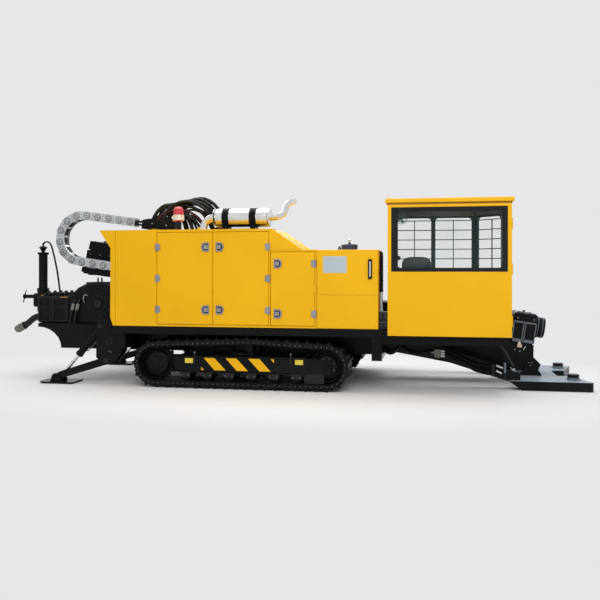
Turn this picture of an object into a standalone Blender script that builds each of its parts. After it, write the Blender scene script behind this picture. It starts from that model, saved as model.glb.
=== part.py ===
"""Horizontal directional drill on crawler tracks.

Metres, +Z up. +X is the drilling end, where the anchor plate lies, and +Y is the side away
from the hood and the cab. The ground is Z = 0 and the origin is under the machine's middle.
"""
import math

import bmesh
import bpy
from mathutils import Matrix, Vector

# Clearances
SEAT_GAP = 0.0003        # between pieces that touch
PIN_GAP = 0.0005         # at the sides of an eye, and round a rod
SWING_GAP = 0.006        # round a piece that moves

# Colours: red, green, blue, roughness, metallic
YELLOW = (0.80, 0.45, 0.02, 0.38, 0.0)
BLACK = (0.012, 0.015, 0.017, 0.45, 0.1)
RUBBER = (0.014, 0.014, 0.014, 0.75, 0.0)
CAST = (0.035, 0.036, 0.037, 0.6, 0.5)
ZINC = (0.42, 0.45, 0.46, 0.4, 0.8)
STAINLESS = (0.62, 0.61, 0.58, 0.28, 1.0)
GLASS = (0.55, 0.65, 0.66, 0.05, 0.0)
RED = (0.55, 0.02, 0.015, 0.3, 0.0)
NAVY = (0.01, 0.02, 0.07, 0.35, 0.0)
SOOT = (0.008, 0.008, 0.009, 0.6, 0.0)

# Crawler
TRACK_REACH = 1.20       # middle plane to the outer edge of the shoes
SHOE_WIDTH = 0.375 * TRACK_REACH
SHOE_COUNT = 45
WHEEL_Z = 0.317          # axle height, and radius to the lugs' tips
SPROCKET_X = -1.58
IDLER_X = 0.725
CARRIER_X = -0.317
TRACK_TOP = 0.686        # lugs' tips over the carrier roller
LUG_HEIGHT = 0.024
PLATE_THICKNESS = 0.022
LINK_HEIGHT = 0.045
CARRIER_RADIUS = 0.055
ROLLER_RADIUS = 0.078
ROLLER_COUNT = 6
ROLLER_FIRST_X = -1.18
ROLLER_PITCH = 0.302
FRAME_REAR_X = -1.336
FRAME_FRONT_X = 0.48
FRAME_LOW = 0.209
FRAME_HIGH = 0.417
FRAME_WIDTH = 0.31
SPROCKET_TEETH = 15
TOOTH_DEPTH = 0.03
SPROCKET_THICKNESS = 0.06
HUB_RADIUS = 0.16

# Chassis
DECK_REAR_X = -2.20
DECK_FRONT_X = 1.45
DECK_HALF_WIDTH = 1.165
DECK_TOP = 0.8147
DECK_THICKNESS = 0.05
SILL_WIDTH = 0.08
SILL_LOW = 0.71
MAIN_BEAM_Y = 0.525      # middle of each main beam
MAIN_BEAM_WIDTH = 0.15
MAIN_BEAM_LOW = 0.43
CROSS_LOW = 0.29
CROSS_HIGH = 0.50
CROSS_LENGTH = 0.30
CROSS_PLACES = (-0.80, 0.25)
CARBODY_HALF_WIDTH = TRACK_REACH - SHOE_WIDTH - 0.09

# Hood
HOOD_BOTTOM = 0.815
HOOD_TOP = 2.10
HOOD_NEAR_Y = -1.18
HOOD_FAR_Y = -0.27
HOOD_REAR_X = -2.22
HOOD_LIP_X = -2.374
HOOD_LIP_LOW = 1.866
HOOD_FOOT = (-2.181, 0.927)     # X where the rear corner meets the deck, Z where it starts
HOOD_FRONT_X = 0.6077
HOOD_SLOPE_X = (0.025, 0.421)
HOOD_STEP_Z = 1.83
HOOD_WALL = 0.03
HOOD_NEAR_WALL = 0.056
DOOR_THICKNESS = 0.03
DOOR_FLANGE = 0.035      # overlap of a door on the wall behind it
DOOR_LOW = 0.845
HINGE_RADIUS = 0.008
HINGE_LENGTH = 0.09
HINGE_STAND_OFF = HINGE_RADIUS + SEAT_GAP  # from the wall's face to the hinge's axis
HINGE_SHIFT = SWING_GAP + HINGE_RADIUS     # from the door's edge to the hinge's axis

# Hydraulic tank
TANK_REAR_X = 0.608
TANK_FRONT_X = 1.396
TANK_TOP = 1.825

# Cab
CAB_REAR_X = 1.513
CAB_FRONT_X = 3.03
CAB_NEAR_Y = -1.17
CAB_FAR_Y = -0.26
CAB_CHAMFER_X = 2.65
CAB_CHAMFER_Y = -0.62
CAB_BOTTOM = 0.735
CAB_TOP = 2.41
CAB_WALL = 0.045
CAB_FLOOR = 0.04
ROOF_THICKNESS = 0.055
ROOF_OVERHANG = 0.03
WINDOW_LOW = 1.544
WINDOW_HIGH = CAB_TOP - 0.054
WINDOW_REAR_X = 1.558
WINDOW_FRONT_X = 2.982
GLASS_THICKNESS = 0.006

# Mast, in its own frame: x along the mast, z square to it, origin on the pivot
PIVOT_X = 3.40
PIVOT_Z = 0.22
MAST_Y = 0.25
MAST_PITCH = math.radians(8.0)
MAST_REAR = -6.73
MAST_LOW = 0.364
MAST_HIGH = 0.604
MAST_WIDTH = 0.50
RAIL_WIDTH = 0.10
MAST_FLOOR = 0.03
DRILL_AXIS = 0.555
VISE_REAR = -0.305
VISE_FRONT = 0.0
VISE_HIGH = 0.735
VISE_LOW = 0.3157
VISE_BAY_REAR = -0.80
VISE_AXIS_X = -0.4825
BORE_RADIUS = 0.085

# Carriage, in the mast's frame
CARRIAGE_REAR = -5.60
CARRIAGE_FRONT = -4.41
CARRIAGE_HIGH = 0.72
CARRIAGE_TRAVEL = 3.40
GEARBOX_FRONT = -4.40
GEARBOX_LENGTH = 0.42
GEARBOX_HIGH = 1.02
SPINDLE_RADIUS = 0.06
SPINDLE_LENGTH = 0.30

# Anchor plate
ANCHOR_REAR_X = 3.21
ANCHOR_FRONT_X = 4.104
ANCHOR_HALF_WIDTH = 0.85
ANCHOR_TOP = 0.12
ANCHOR_UNDERSIDE = 0.001
ANCHOR_CORNER = 0.03
NOTCH_HALF = 0.25
NOTCH_REAR_X = 3.75
NOTCH_MOUTH_X = 3.93
NOTCH_FLARE = 0.02
TOE_WIDTH = 0.09         # of the two ends that reach back beside the sloping beams
TOE_LENGTH = 0.155
TOE_LOW = 0.018
STAKE_X = 3.90
STAKE_SPREAD = 0.58
STAKE_RADIUS = 0.077
STAKE_HEIGHT = 0.07

# Drag chain, in the mast's frame
CHAIN_Y = -0.115
CHAIN_WIDTH = 0.18
CHAIN_HEIGHT = 0.13
CHAIN_PITCH = 0.173      # from pin to pin
CHAIN_LINKS = 30
CHAIN_UPPER_START = -5.92
CHAIN_TIP = 0.073        # from the free end to the first pin
CHAIN_UPPER_Z = 1.245
CHAIN_TURN_X = -6.73
CHAIN_TURN_RADIUS = 0.352
CHAIN_PLATE = 0.018
CHAIN_BOSS_RADIUS = 0.047
CHAIN_BOSS_HEIGHT = 0.010
CHAIN_BAR = 0.008
CHAIN_BAR_WIDTH = 0.040
CHAIN_OPEN_LINKS = 16    # links with bosses and bars; the rest lies in the tray
CHAIN_UPPER_RUN = CHAIN_UPPER_START - CHAIN_TURN_X
CHAIN_BEND = math.pi * CHAIN_TURN_RADIUS
CHAIN_LENGTH = CHAIN_LINKS * CHAIN_PITCH
CHAIN_LOWER_END = CHAIN_TURN_X + CHAIN_LENGTH - CHAIN_UPPER_RUN - CHAIN_BEND
CHAIN_HOSES = 4
TRAY_REAR = -6.64
TRAY_LOW = 0.403

# Stabilizers
LEG_Y = 1.0
LEG_PIVOT = (-2.311, 0.33)
LEG_FOOT = (-3.068, 0.085)
LEG_EYE = (-2.99, 0.135)
LEG_RAM_BASE = (-2.40, 0.80)
LEG_WIDTH = 0.15
LEG_PLATE = 0.015
LEG_DEPTH = 0.11
LEG_RAM_RADIUS = 0.048
LEG_BARREL = 0.55
LEG_ROD_RADIUS = 0.025
PAD_REACH = (0.23, 0.28)
PAD_HALF_WIDTH = 0.16
PAD_THICKNESS = 0.022
PAD_UNDERSIDE = 0.004

# Mast tilt rams, in world X and Z
RAM_BASE = (1.12, 0.50)
RAM_EYE = (0.30, 0.955)
RAM_SPREAD = 0.13
RAM_RADIUS = 0.055
RAM_BARREL = 0.62
RAM_ROD_RADIUS = 0.032

PARTS = None
CUTTERS = None
MATERIALS = {}


# Scene and helpers

def clear_scene():
    for item in list(bpy.data.objects):
        bpy.data.objects.remove(item, do_unlink=True)


def new_collection(name):
    collection = bpy.data.collections.new(name)
    bpy.context.scene.collection.children.link(collection)
    return collection


def finish_of(name, finish):
    """A Principled material for one node."""
    red, green, blue, roughness, metallic = finish
    material = bpy.data.materials.new(name)
    material.use_nodes = True
    shader = material.node_tree.nodes["Principled BSDF"]
    shader.inputs["Base Color"].default_value = (red, green, blue, 1.0)
    shader.inputs["Roughness"].default_value = roughness
    shader.inputs["Metallic"].default_value = metallic
    return material


def helper_object(data, name="piece"):
    """A piece that is joined or cut away later."""
    piece = bpy.data.objects.new(name, data)
    piece.hide_render = True
    piece.display_type = "WIRE"
    CUTTERS.objects.link(piece)
    return piece


def from_bmesh(solid):
    mesh = bpy.data.meshes.new("piece")
    solid.to_mesh(mesh)
    solid.free()
    return helper_object(mesh)


def evaluated_mesh(piece):
    """The piece as its modifiers leave it, with loose caps welded."""
    bpy.context.view_layer.update()
    graph = bpy.context.evaluated_depsgraph_get()
    mesh = bpy.data.meshes.new_from_object(piece.evaluated_get(graph))
    solid = bmesh.new()
    solid.from_mesh(mesh)
    bmesh.ops.remove_doubles(solid, verts=solid.verts, dist=0.00002)
    solid.to_mesh(mesh)
    solid.free()
    return mesh


def baked(piece):
    mesh = evaluated_mesh(piece)
    bpy.data.objects.remove(piece, do_unlink=True)
    return helper_object(mesh)


def box(low, high):
    """A rectangular solid between two corners."""
    solid = bmesh.new()
    bmesh.ops.create_cube(solid, size=1.0)
    size = [top - bottom for bottom, top in zip(low, high)]
    middle = [(top + bottom) / 2 for bottom, top in zip(low, high)]
    bmesh.ops.scale(solid, vec=size, verts=solid.verts)
    bmesh.ops.translate(solid, vec=middle, verts=solid.verts)
    return from_bmesh(solid)


def rod(start, end, radius, end_radius=None, sides=14):
    """A round bar or a cone between two points."""
    start = Vector(start)
    end = Vector(end)
    along = end - start
    solid = bmesh.new()
    turn = along.to_track_quat("Z", "Y").to_matrix().to_4x4()
    place = Matrix.Translation((start + end) / 2) @ turn
    second = radius if end_radius is None else end_radius
    bmesh.ops.create_cone(solid, cap_ends=True, segments=sides, radius1=radius,
                          radius2=second, depth=along.length, matrix=place)
    return from_bmesh(solid)


OUTLINE_FRAMES = {
    "X": Matrix(((0, 0, 1, 0), (1, 0, 0, 0), (0, 1, 0, 0), (0, 0, 0, 1))),
    "Y": Matrix(((1, 0, 0, 0), (0, 0, -1, 0), (0, 1, 0, 0), (0, 0, 0, 1))),
    "Z": Matrix.Identity(4),
}


def plate(outline, low, high, axis="Y", holes=()):
    """A flat outline with thickness: (y, z) along X, (x, z) along Y, (x, y) along Z."""
    curve = bpy.data.curves.new("outline", "CURVE")
    curve.dimensions = "2D"
    curve.fill_mode = "BOTH"
    curve.extrude = (high - low) / 2
    for loop in (outline, *holes):
        spline = curve.splines.new("POLY")
        spline.points.add(len(loop) - 1)
        for point, (across, up) in zip(spline.points, loop):
            point.co = (across, up, 0.0, 1.0)
        spline.use_cyclic_u = True
    piece = baked(helper_object(curve))
    middle = (low + high) / 2
    shift = {"X": (middle, 0, 0), "Y": (0, middle, 0), "Z": (0, 0, middle)}[axis]
    piece.data.transform(Matrix.Translation(shift) @ OUTLINE_FRAMES[axis])
    return piece


def turned(profile, centre=(0.0, 0.0, 0.0), axis="Z", steps=16):
    """A profile of (radius, height), listed from top to bottom, turned about an axis."""
    mesh = bpy.data.meshes.new("profile")
    points = [(radius, 0.0, height) for radius, height in profile]
    edges = [(place, place + 1) for place in range(len(points) - 1)]
    if profile[0][0] > 0.0:
        edges.append((len(points) - 1, 0))
    mesh.from_pydata(points, edges, [])
    piece = helper_object(mesh)
    screw = piece.modifiers.new("turn", "SCREW")
    screw.steps = steps
    screw.render_steps = steps
    screw.use_merge_vertices = True
    screw.merge_threshold = 0.00001
    piece = baked(piece)
    turns = {"X": Matrix.Rotation(math.pi / 2, 4, "Y"), "Y": Matrix.Rotation(-math.pi / 2, 4, "X"),
             "Z": Matrix.Identity(4)}
    piece.data.transform(Matrix.Translation(centre) @ turns[axis])
    return piece


def smooth_route(points, per_span=6):
    """Points along a Catmull-Rom curve through the route's own points."""
    route = [Vector(point) for point in points]
    route = [2 * route[0] - route[1], *route, 2 * route[-1] - route[-2]]
    smooth = []
    for before, start, end, after in zip(route, route[1:], route[2:], route[3:]):
        for step in range(per_span):
            t = step / per_span
            smooth.append(0.5 * (2 * start + (end - before) * t
                                 + (2 * before - 5 * start + 4 * end - after) * t ** 2
                                 + (3 * start - before - 3 * end + after) * t ** 3))
    smooth.append(route[-2])
    return smooth


def tube(points, radius, resolution=2):
    """A round bar along a line of points."""
    curve = bpy.data.curves.new("tube", "CURVE")
    curve.dimensions = "3D"
    curve.bevel_depth = radius
    curve.bevel_resolution = resolution
    curve.use_fill_caps = True
    spline = curve.splines.new("POLY")
    spline.points.add(len(points) - 1)
    for point, place in zip(spline.points, points):
        point.co = (*place, 1.0)
    return baked(helper_object(curve))


def rounded(piece, width, segments=1):
    """The same solid with its sharp edges bevelled."""
    bevel = piece.modifiers.new("edges", "BEVEL")
    bevel.width = width
    bevel.segments = segments
    bevel.limit_method = "ANGLE"
    bevel.angle_limit = math.radians(40)
    return baked(piece)


def combined(base, others, operation):
    for other in others:
        step = base.modifiers.new(operation.lower(), "BOOLEAN")
        step.operation = operation
        step.object = other
    result = baked(base)
    for other in others:
        bpy.data.objects.remove(other, do_unlink=True)
    return result


def fused(*pieces):
    """One solid from pieces that run into each other."""
    return combined(pieces[0], pieces[1:], "UNION")


def cut(base, *tools):
    return combined(base, tools, "DIFFERENCE")


def shifted(piece, y):
    piece.data.transform(Matrix.Translation((0.0, y, 0.0)))
    return piece


def node(name, piece, finish, parent=None):
    """Name a finished solid, give it its material and hang it on its parent."""
    mesh = piece.data
    bpy.data.objects.remove(piece, do_unlink=True)
    part = bpy.data.objects.new(name, mesh)
    PARTS.objects.link(part)
    if finish not in MATERIALS:
        MATERIALS[finish] = finish_of("finish_" + str(len(MATERIALS)), finish)
    mesh.materials.clear()
    mesh.materials.append(MATERIALS[finish])
    mesh.shade_smooth()
    mesh.set_sharp_from_angle(angle=math.radians(35))
    part.parent = parent
    return part


def axis_empty(name, location, parent=None, pitch=0.0):
    """An empty on a joint's axis, turned about Y."""
    empty = bpy.data.objects.new(name, None)
    empty.location = location
    empty.rotation_euler = (0.0, pitch, 0.0)
    empty.parent = parent
    PARTS.objects.link(empty)
    return empty


def mirrored_y(piece):
    """The same solid on the other side of the middle plane."""
    solid = bmesh.new()
    solid.from_mesh(piece.data)
    bmesh.ops.scale(solid, vec=(1.0, -1.0, 1.0), verts=solid.verts)
    bmesh.ops.reverse_faces(solid, faces=solid.faces)
    solid.to_mesh(piece.data)
    solid.free()
    return piece


def both_sides(name, make, finish):
    """A node on the near side, named right, and its mirror image, named left."""
    node(name + "_right", make(), finish)
    node(name + "_left", mirrored_y(make()), finish)


# Crawler

def belt_stretches(wheels):
    """Round and straight stretches of a belt that runs anticlockwise round the wheels."""
    bearings = []
    for (x0, z0, r0), (x1, z1, r1) in zip(wheels, wheels[1:] + wheels[:1]):
        span = math.hypot(x1 - x0, z1 - z0)
        bearings.append(math.atan2(z1 - z0, x1 - x0) - math.acos((r0 - r1) / span))
    stretches = []
    for place, (x0, z0, r0) in enumerate(wheels):
        x1, z1, r1 = wheels[(place + 1) % len(wheels)]
        start, end = bearings[place - 1], bearings[place]
        turn = (end - start) % math.tau
        stretches.append(("round", r0 * turn, Vector((x0, z0)), r0, start))
        outward = Vector((math.cos(end), math.sin(end)))
        first = Vector((x0, z0)) + outward * r0
        last = Vector((x1, z1)) + outward * r1
        stretches.append(("straight", (last - first).length, first, last, outward))
    return stretches


def belt_point(stretches, distance, height):
    """The point at a distance along the belt and a height outside it."""
    for kind, length, first, second, third in stretches:
        if distance <= length:
            break
        distance -= length
    if kind == "round":
        angle = third + distance / second
        return first + Vector((math.cos(angle), math.sin(angle))) * (second + height)
    return first.lerp(second, distance / length) + third * height


def belt_inside(stretches, facet):
    """Inner outline of the belt: flats that touch each wheel, none of them turning more than a facet."""
    outline = []
    for kind, length, centre, radius, start in stretches[::2]:
        turn = length / radius
        count = math.ceil(turn / facet)
        step = turn / count
        corner = radius / math.cos(step / 2)
        for place in range(count):
            angle = start + (place + 0.5) * step
            outline.append(centre + Vector((math.cos(angle), math.sin(angle))) * corner)
    return outline


BELT_HEIGHT = LUG_HEIGHT + PLATE_THICKNESS + LINK_HEIGHT
WHEEL_RADIUS = WHEEL_Z - BELT_HEIGHT
CARRIER_Z = TRACK_TOP - BELT_HEIGHT - CARRIER_RADIUS
TRACK_MIDDLE_Y = TRACK_REACH - SHOE_WIDTH / 2
BELT_WHEELS = [(SPROCKET_X, WHEEL_Z, WHEEL_RADIUS), (IDLER_X, WHEEL_Z, WHEEL_RADIUS),
               (CARRIER_X, CARRIER_Z, CARRIER_RADIUS)]

# One shoe: share of its pitch, height above the links
SHOE_OUTLINE = (
    (0.01, 0.0), (0.04, PLATE_THICKNESS),
    (0.38, PLATE_THICKNESS), (0.43, PLATE_THICKNESS + LUG_HEIGHT),
    (0.57, PLATE_THICKNESS + LUG_HEIGHT), (0.62, PLATE_THICKNESS),
    (0.96, PLATE_THICKNESS), (0.99, 0.0),
)


def make_track():
    stretches = belt_stretches(BELT_WHEELS)
    total = sum(stretch[1] for stretch in stretches)
    pitch = total / SHOE_COUNT
    outer = []
    for shoe in range(SHOE_COUNT):
        for share, height in SHOE_OUTLINE:
            outer.append(belt_point(stretches, (shoe + share) * pitch, LINK_HEIGHT + height))
    inner = belt_inside(stretches, math.radians(15))
    return plate(outer, -TRACK_REACH, SHOE_WIDTH - TRACK_REACH, holes=(inner,))


def make_crawler_frame():
    near = -TRACK_MIDDLE_Y - FRAME_WIDTH / 2
    far = -TRACK_MIDDLE_Y + FRAME_WIDTH / 2
    beam = rounded(box((FRAME_REAR_X, near, FRAME_LOW), (FRAME_FRONT_X, far, FRAME_HIGH)), 0.015)
    pieces = [beam]
    fork_low = FRAME_LOW + 0.002
    fork_high = FRAME_HIGH - 0.002
    fork_reach = 0.057
    fork_thickness = 0.035
    for side in (near, far - fork_thickness):
        pieces.append(box((FRAME_FRONT_X - 0.2, side, fork_low),
                          (IDLER_X + fork_reach, side + fork_thickness, fork_high)))
    drive_plate = 0.04
    pieces.append(box((SPROCKET_X - HUB_RADIUS, far - drive_plate, FRAME_LOW + 0.01),
                      (FRAME_REAR_X + 0.1, far, FRAME_HIGH - 0.01)))
    roller_z = WHEEL_Z - WHEEL_RADIUS + ROLLER_RADIUS + SEAT_GAP
    roller_half = 0.115
    for place in range(ROLLER_COUNT):
        x = ROLLER_FIRST_X + place * ROLLER_PITCH
        pieces.append(rod((x, -TRACK_MIDDLE_Y - roller_half, roller_z),
                          (x, -TRACK_MIDDLE_Y + roller_half, roller_z), ROLLER_RADIUS))
    carrier_half = 0.09
    bracket_half = 0.03
    pieces.append(rod((CARRIER_X, -TRACK_MIDDLE_Y - carrier_half, CARRIER_Z),
                      (CARRIER_X, -TRACK_MIDDLE_Y + carrier_half, CARRIER_Z),
                      CARRIER_RADIUS - SEAT_GAP))
    pieces.append(box((CARRIER_X - bracket_half, -TRACK_MIDDLE_Y - bracket_half, FRAME_HIGH - 0.02),
                      (CARRIER_X + bracket_half, -TRACK_MIDDLE_Y + bracket_half, CARRIER_Z)))
    for x in CROSS_PLACES:
        pieces.append(box((x - CROSS_LENGTH / 2, far - 0.05, CROSS_LOW),
                          (x + CROSS_LENGTH / 2, -CARBODY_HALF_WIDTH - SEAT_GAP, FRAME_HIGH - 0.02)))
    return fused(*pieces)


def make_sprocket():
    """Toothed ring with a stepped drive hub, seated on the crawler frame's rear plate."""
    rim = WHEEL_RADIUS - SEAT_GAP
    outline = []
    for tooth in range(SPROCKET_TEETH):
        for share, radius in ((0.0, rim - TOOTH_DEPTH), (0.3, rim - TOOTH_DEPTH), (0.45, rim), (0.85, rim)):
            angle = math.tau * (tooth + share) / SPROCKET_TEETH
            outline.append((SPROCKET_X + radius * math.cos(angle), WHEEL_Z + radius * math.sin(angle)))
    half = SPROCKET_THICKNESS / 2
    ring = plate(outline, -TRACK_MIDDLE_Y - half, -TRACK_MIDDLE_Y + half)
    inner = FRAME_WIDTH / 2 - 0.04 - SEAT_GAP
    outer = 0.13
    hub = turned([(0.0, inner), (HUB_RADIUS, inner), (HUB_RADIUS, -0.05), (0.115, -0.09),
                  (0.115, -outer + 0.015), (0.10, -outer), (0.0, -outer)],
                 centre=(SPROCKET_X, -TRACK_MIDDLE_Y, WHEEL_Z), axis="Y")
    return fused(ring, hub)


def make_idler():
    rim = WHEEL_RADIUS - SEAT_GAP
    half = 0.085
    hub_half = FRAME_WIDTH / 2 - 0.035 - SEAT_GAP
    profile = [(0.0, hub_half), (0.06, hub_half), (0.07, half), (0.08, 0.03), (rim - 0.05, 0.03),
               (rim - 0.035, half), (rim - 0.012, half), (rim, half - 0.012), (rim, -half + 0.012),
               (rim - 0.012, -half), (rim - 0.035, -half), (rim - 0.05, -0.03), (0.08, -0.03),
               (0.07, -half), (0.06, -hub_half), (0.0, -hub_half)]
    return turned(profile, centre=(IDLER_X, -TRACK_MIDDLE_Y, WHEEL_Z), axis="Y", steps=20)


def make_crawlers():
    both_sides("track", make_track, RUBBER)
    both_sides("crawler_frame", make_crawler_frame, BLACK)
    both_sides("sprocket", make_sprocket, CAST)
    both_sides("idler", make_idler, CAST)


# Chassis

LEG_BRACKET_WIDTH = 0.03
LEG_BRACKET_GAP = PIN_GAP
LEG_BRACKET = ((-2.46, 0.918), (-2.235, 0.918), (-2.235, DECK_TOP), (-2.10, DECK_TOP), (-2.10, 0.45),
               (-2.22, 0.294), (-2.38, 0.294), (-2.46, 0.37))

# Cross members: start X, length along X, underside, inset from the deck's edge
REAR_MEMBER = (-2.17, 0.13, 0.50)
FRONT_MEMBER = (DECK_FRONT_X - 0.14, 0.13, 0.41, 0.01)

# Sloping beams from the front cross member down to the anchor plate, as X and Z
SLOPING_BEAM = ((DECK_FRONT_X - 0.12, 0.72), (DECK_FRONT_X - 0.12, 0.50), (2.30, 0.33),
                (ANCHOR_REAR_X - 0.02, 0.06), (ANCHOR_REAR_X - SEAT_GAP, 0.06),
                (ANCHOR_REAR_X - SEAT_GAP, 0.19), (2.75, 0.36), (2.0, 0.60))
SLOPING_BEAM_WIDTH = 0.15
SLOPING_BEAM_Y = (-0.50, 0.85)      # near face of each

# Cab supports: long beams by near face, cross beams by rear face, and a post under them
CAB_BEAM_Y = (CAB_NEAR_Y + 0.06, -0.62)
CAB_BEAM_LOW = 0.62
CAB_BEAM_WIDTH = 0.09
CAB_CROSS_X = (2.10, CAB_FRONT_X - 0.13)
CAB_CROSS_WIDTH = 0.08
CAB_CROSS_FAR_Y = -0.40
CAB_POST_Y = -0.49
CAB_POST_LOW = 0.36


def leg_bracket(side):
    """Two rear side plates that hold a stabilizer, on one side of the machine."""
    pieces = []
    for start in (-LEG_WIDTH / 2 - LEG_BRACKET_GAP - LEG_BRACKET_WIDTH, LEG_WIDTH / 2 + LEG_BRACKET_GAP):
        low = side * LEG_Y + start
        pieces.append(plate(LEG_BRACKET, low, low + LEG_BRACKET_WIDTH))
    return pieces


def make_chassis():
    beam_half = MAIN_BEAM_WIDTH / 2
    deck_low = DECK_TOP - DECK_THICKNESS
    pieces = [box((DECK_REAR_X, -DECK_HALF_WIDTH, deck_low), (DECK_FRONT_X, DECK_HALF_WIDTH, DECK_TOP))]
    for side in (-1, 1):
        outer = side * DECK_HALF_WIDTH
        inner = side * (DECK_HALF_WIDTH - SILL_WIDTH)
        pieces.append(box((DECK_REAR_X, min(outer, inner), SILL_LOW),
                          (DECK_FRONT_X, max(outer, inner), deck_low + 0.01)))
        middle = side * MAIN_BEAM_Y
        pieces.append(box((DECK_REAR_X + 0.02, middle - beam_half, MAIN_BEAM_LOW),
                          (DECK_FRONT_X - 0.02, middle + beam_half, deck_low + 0.01)))
        pieces.extend(leg_bracket(side))
    for x in CROSS_PLACES:
        pieces.append(box((x - CROSS_LENGTH / 2, -CARBODY_HALF_WIDTH, CROSS_LOW),
                          (x + CROSS_LENGTH / 2, CARBODY_HALF_WIDTH, CROSS_HIGH)))
    rear_x, rear_length, rear_low = REAR_MEMBER
    rear_width = LEG_Y + LEG_WIDTH / 2 + LEG_BRACKET_WIDTH
    pieces.append(box((rear_x, -rear_width, rear_low), (rear_x + rear_length, rear_width, deck_low + 0.01)))
    front_x, front_length, front_low, inset = FRONT_MEMBER
    front_width = DECK_HALF_WIDTH - inset
    pieces.append(box((front_x, -front_width, front_low),
                      (front_x + front_length, front_width, deck_low + 0.01)))
    for low_y in SLOPING_BEAM_Y:
        pieces.append(plate(SLOPING_BEAM, low_y, low_y + SLOPING_BEAM_WIDTH))
    pieces.extend(cab_supports())
    for spread in (-RAM_SPREAD, RAM_SPREAD):
        pieces.extend(ram_lugs(spread))
    well = box((WELL_REAR_X, MAST_Y - WELL_NEAR, WELL_LOW), (front_x, MAST_Y + WELL_FAR, WELL_HIGH))
    return cut(fused(*pieces), well)


def cab_supports():
    """Beams that carry the cab from the deck's front edge, and their post on the sloping beam."""
    seat = CAB_BOTTOM - SEAT_GAP
    pieces = []
    for low_y in CAB_BEAM_Y:
        pieces.append(box((DECK_FRONT_X - 0.05, low_y, CAB_BEAM_LOW),
                          (CAB_FRONT_X - 0.03, low_y + CAB_BEAM_WIDTH, seat)))
    for low_x in CAB_CROSS_X:
        pieces.append(box((low_x, CAB_NEAR_Y + 0.07, CAB_BEAM_LOW + 0.01),
                          (low_x + CAB_CROSS_WIDTH, CAB_CROSS_FAR_Y, seat - 0.01)))
    post_x = CAB_CROSS_X[0]
    pieces.append(box((post_x, CAB_POST_Y, CAB_POST_LOW),
                      (post_x + CAB_CROSS_WIDTH, CAB_POST_Y + CAB_CROSS_WIDTH, CAB_BEAM_LOW + 0.08)))
    return pieces


# Well in the deck for the mast's rams: rear end, reach to each side of the mast's middle, depth
WELL_REAR_X = 0.35
WELL_NEAR = 0.22
WELL_FAR = 0.199
WELL_LOW = 0.60
WELL_HIGH = 1.0

RAM_EYE_WIDTH = 0.06
RAM_EYE_RADIUS = 0.048
LUG_PLATE = 0.025


def ram_lugs(spread):
    """A pair of lugs on the front cross member that hold the foot of one tilt ram."""
    x, z = RAM_BASE
    reach = RAM_EYE_RADIUS
    back = DECK_FRONT_X - 0.13
    outline = [(back, z - 0.08), (back, z + 0.12), (x + 0.02, z + reach), (x - reach * 0.5, z + reach),
               (x - reach, z + reach * 0.4), (x - reach, z - reach * 0.4), (x - reach * 0.5, z - reach)]
    middle = MAST_Y + spread
    half = RAM_EYE_WIDTH / 2 + PIN_GAP
    return [plate(outline, middle + half, middle + half + LUG_PLATE),
            plate(outline, middle - half - LUG_PLATE, middle - half)]


def make_anchor_plate():
    """Ground plate with a notched front, two stake caps and the ears of the mast's pivot."""
    near, far = MAST_Y - ANCHOR_HALF_WIDTH, MAST_Y + ANCHOR_HALF_WIDTH
    notch_near, notch_far = MAST_Y - NOTCH_HALF, MAST_Y + NOTCH_HALF
    outline = [(ANCHOR_REAR_X, near), (ANCHOR_FRONT_X - ANCHOR_CORNER, near),
               (ANCHOR_FRONT_X, near + ANCHOR_CORNER), (NOTCH_MOUTH_X, notch_near - NOTCH_FLARE),
               (NOTCH_REAR_X, notch_near), (NOTCH_REAR_X, notch_far),
               (NOTCH_MOUTH_X, notch_far + NOTCH_FLARE), (ANCHOR_FRONT_X, far - ANCHOR_CORNER),
               (ANCHOR_FRONT_X - ANCHOR_CORNER, far), (ANCHOR_REAR_X, far)]
    pieces = [plate(outline, ANCHOR_UNDERSIDE, ANCHOR_TOP, axis="Z")]
    toe_high = ANCHOR_TOP - 0.001
    toe = [(ANCHOR_REAR_X - TOE_LENGTH, toe_high), (ANCHOR_REAR_X - 0.02, TOE_LOW),
           (ANCHOR_REAR_X + 0.04, TOE_LOW), (ANCHOR_REAR_X + 0.04, toe_high)]
    for side in (-1, 1):
        edge = MAST_Y + side * (ANCHOR_HALF_WIDTH - 0.001)
        inner = edge - side * TOE_WIDTH
        pieces.append(plate(toe, min(edge, inner), max(edge, inner)))
        middle = MAST_Y + side * STAKE_SPREAD
        pieces.append(rod((STAKE_X, middle, ANCHOR_TOP - 0.02), (STAKE_X, middle, ANCHOR_TOP + STAKE_HEIGHT),
                          STAKE_RADIUS, STAKE_RADIUS * 0.93))
        ear = [(PIVOT_X - 0.16, ANCHOR_TOP - 0.02), (PIVOT_X + 0.16, ANCHOR_TOP - 0.02),
               (PIVOT_X + 0.07, PIVOT_Z + 0.03), (PIVOT_X + 0.035, PIVOT_Z + 0.07),
               (PIVOT_X - 0.035, PIVOT_Z + 0.07), (PIVOT_X - 0.07, PIVOT_Z + 0.03)]
        start = MAST_Y + side * (MAST_WIDTH / 2 + PIN_GAP)
        end = start + side * 0.04
        pieces.append(plate(ear, min(start, end), max(start, end)))
        pin_start, pin_end = start + side * 0.02, start + side * 0.065
        pieces.append(rod((PIVOT_X, pin_start, PIVOT_Z), (PIVOT_X, pin_end, PIVOT_Z), 0.04))
    return fused(*pieces)


# Hood

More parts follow.
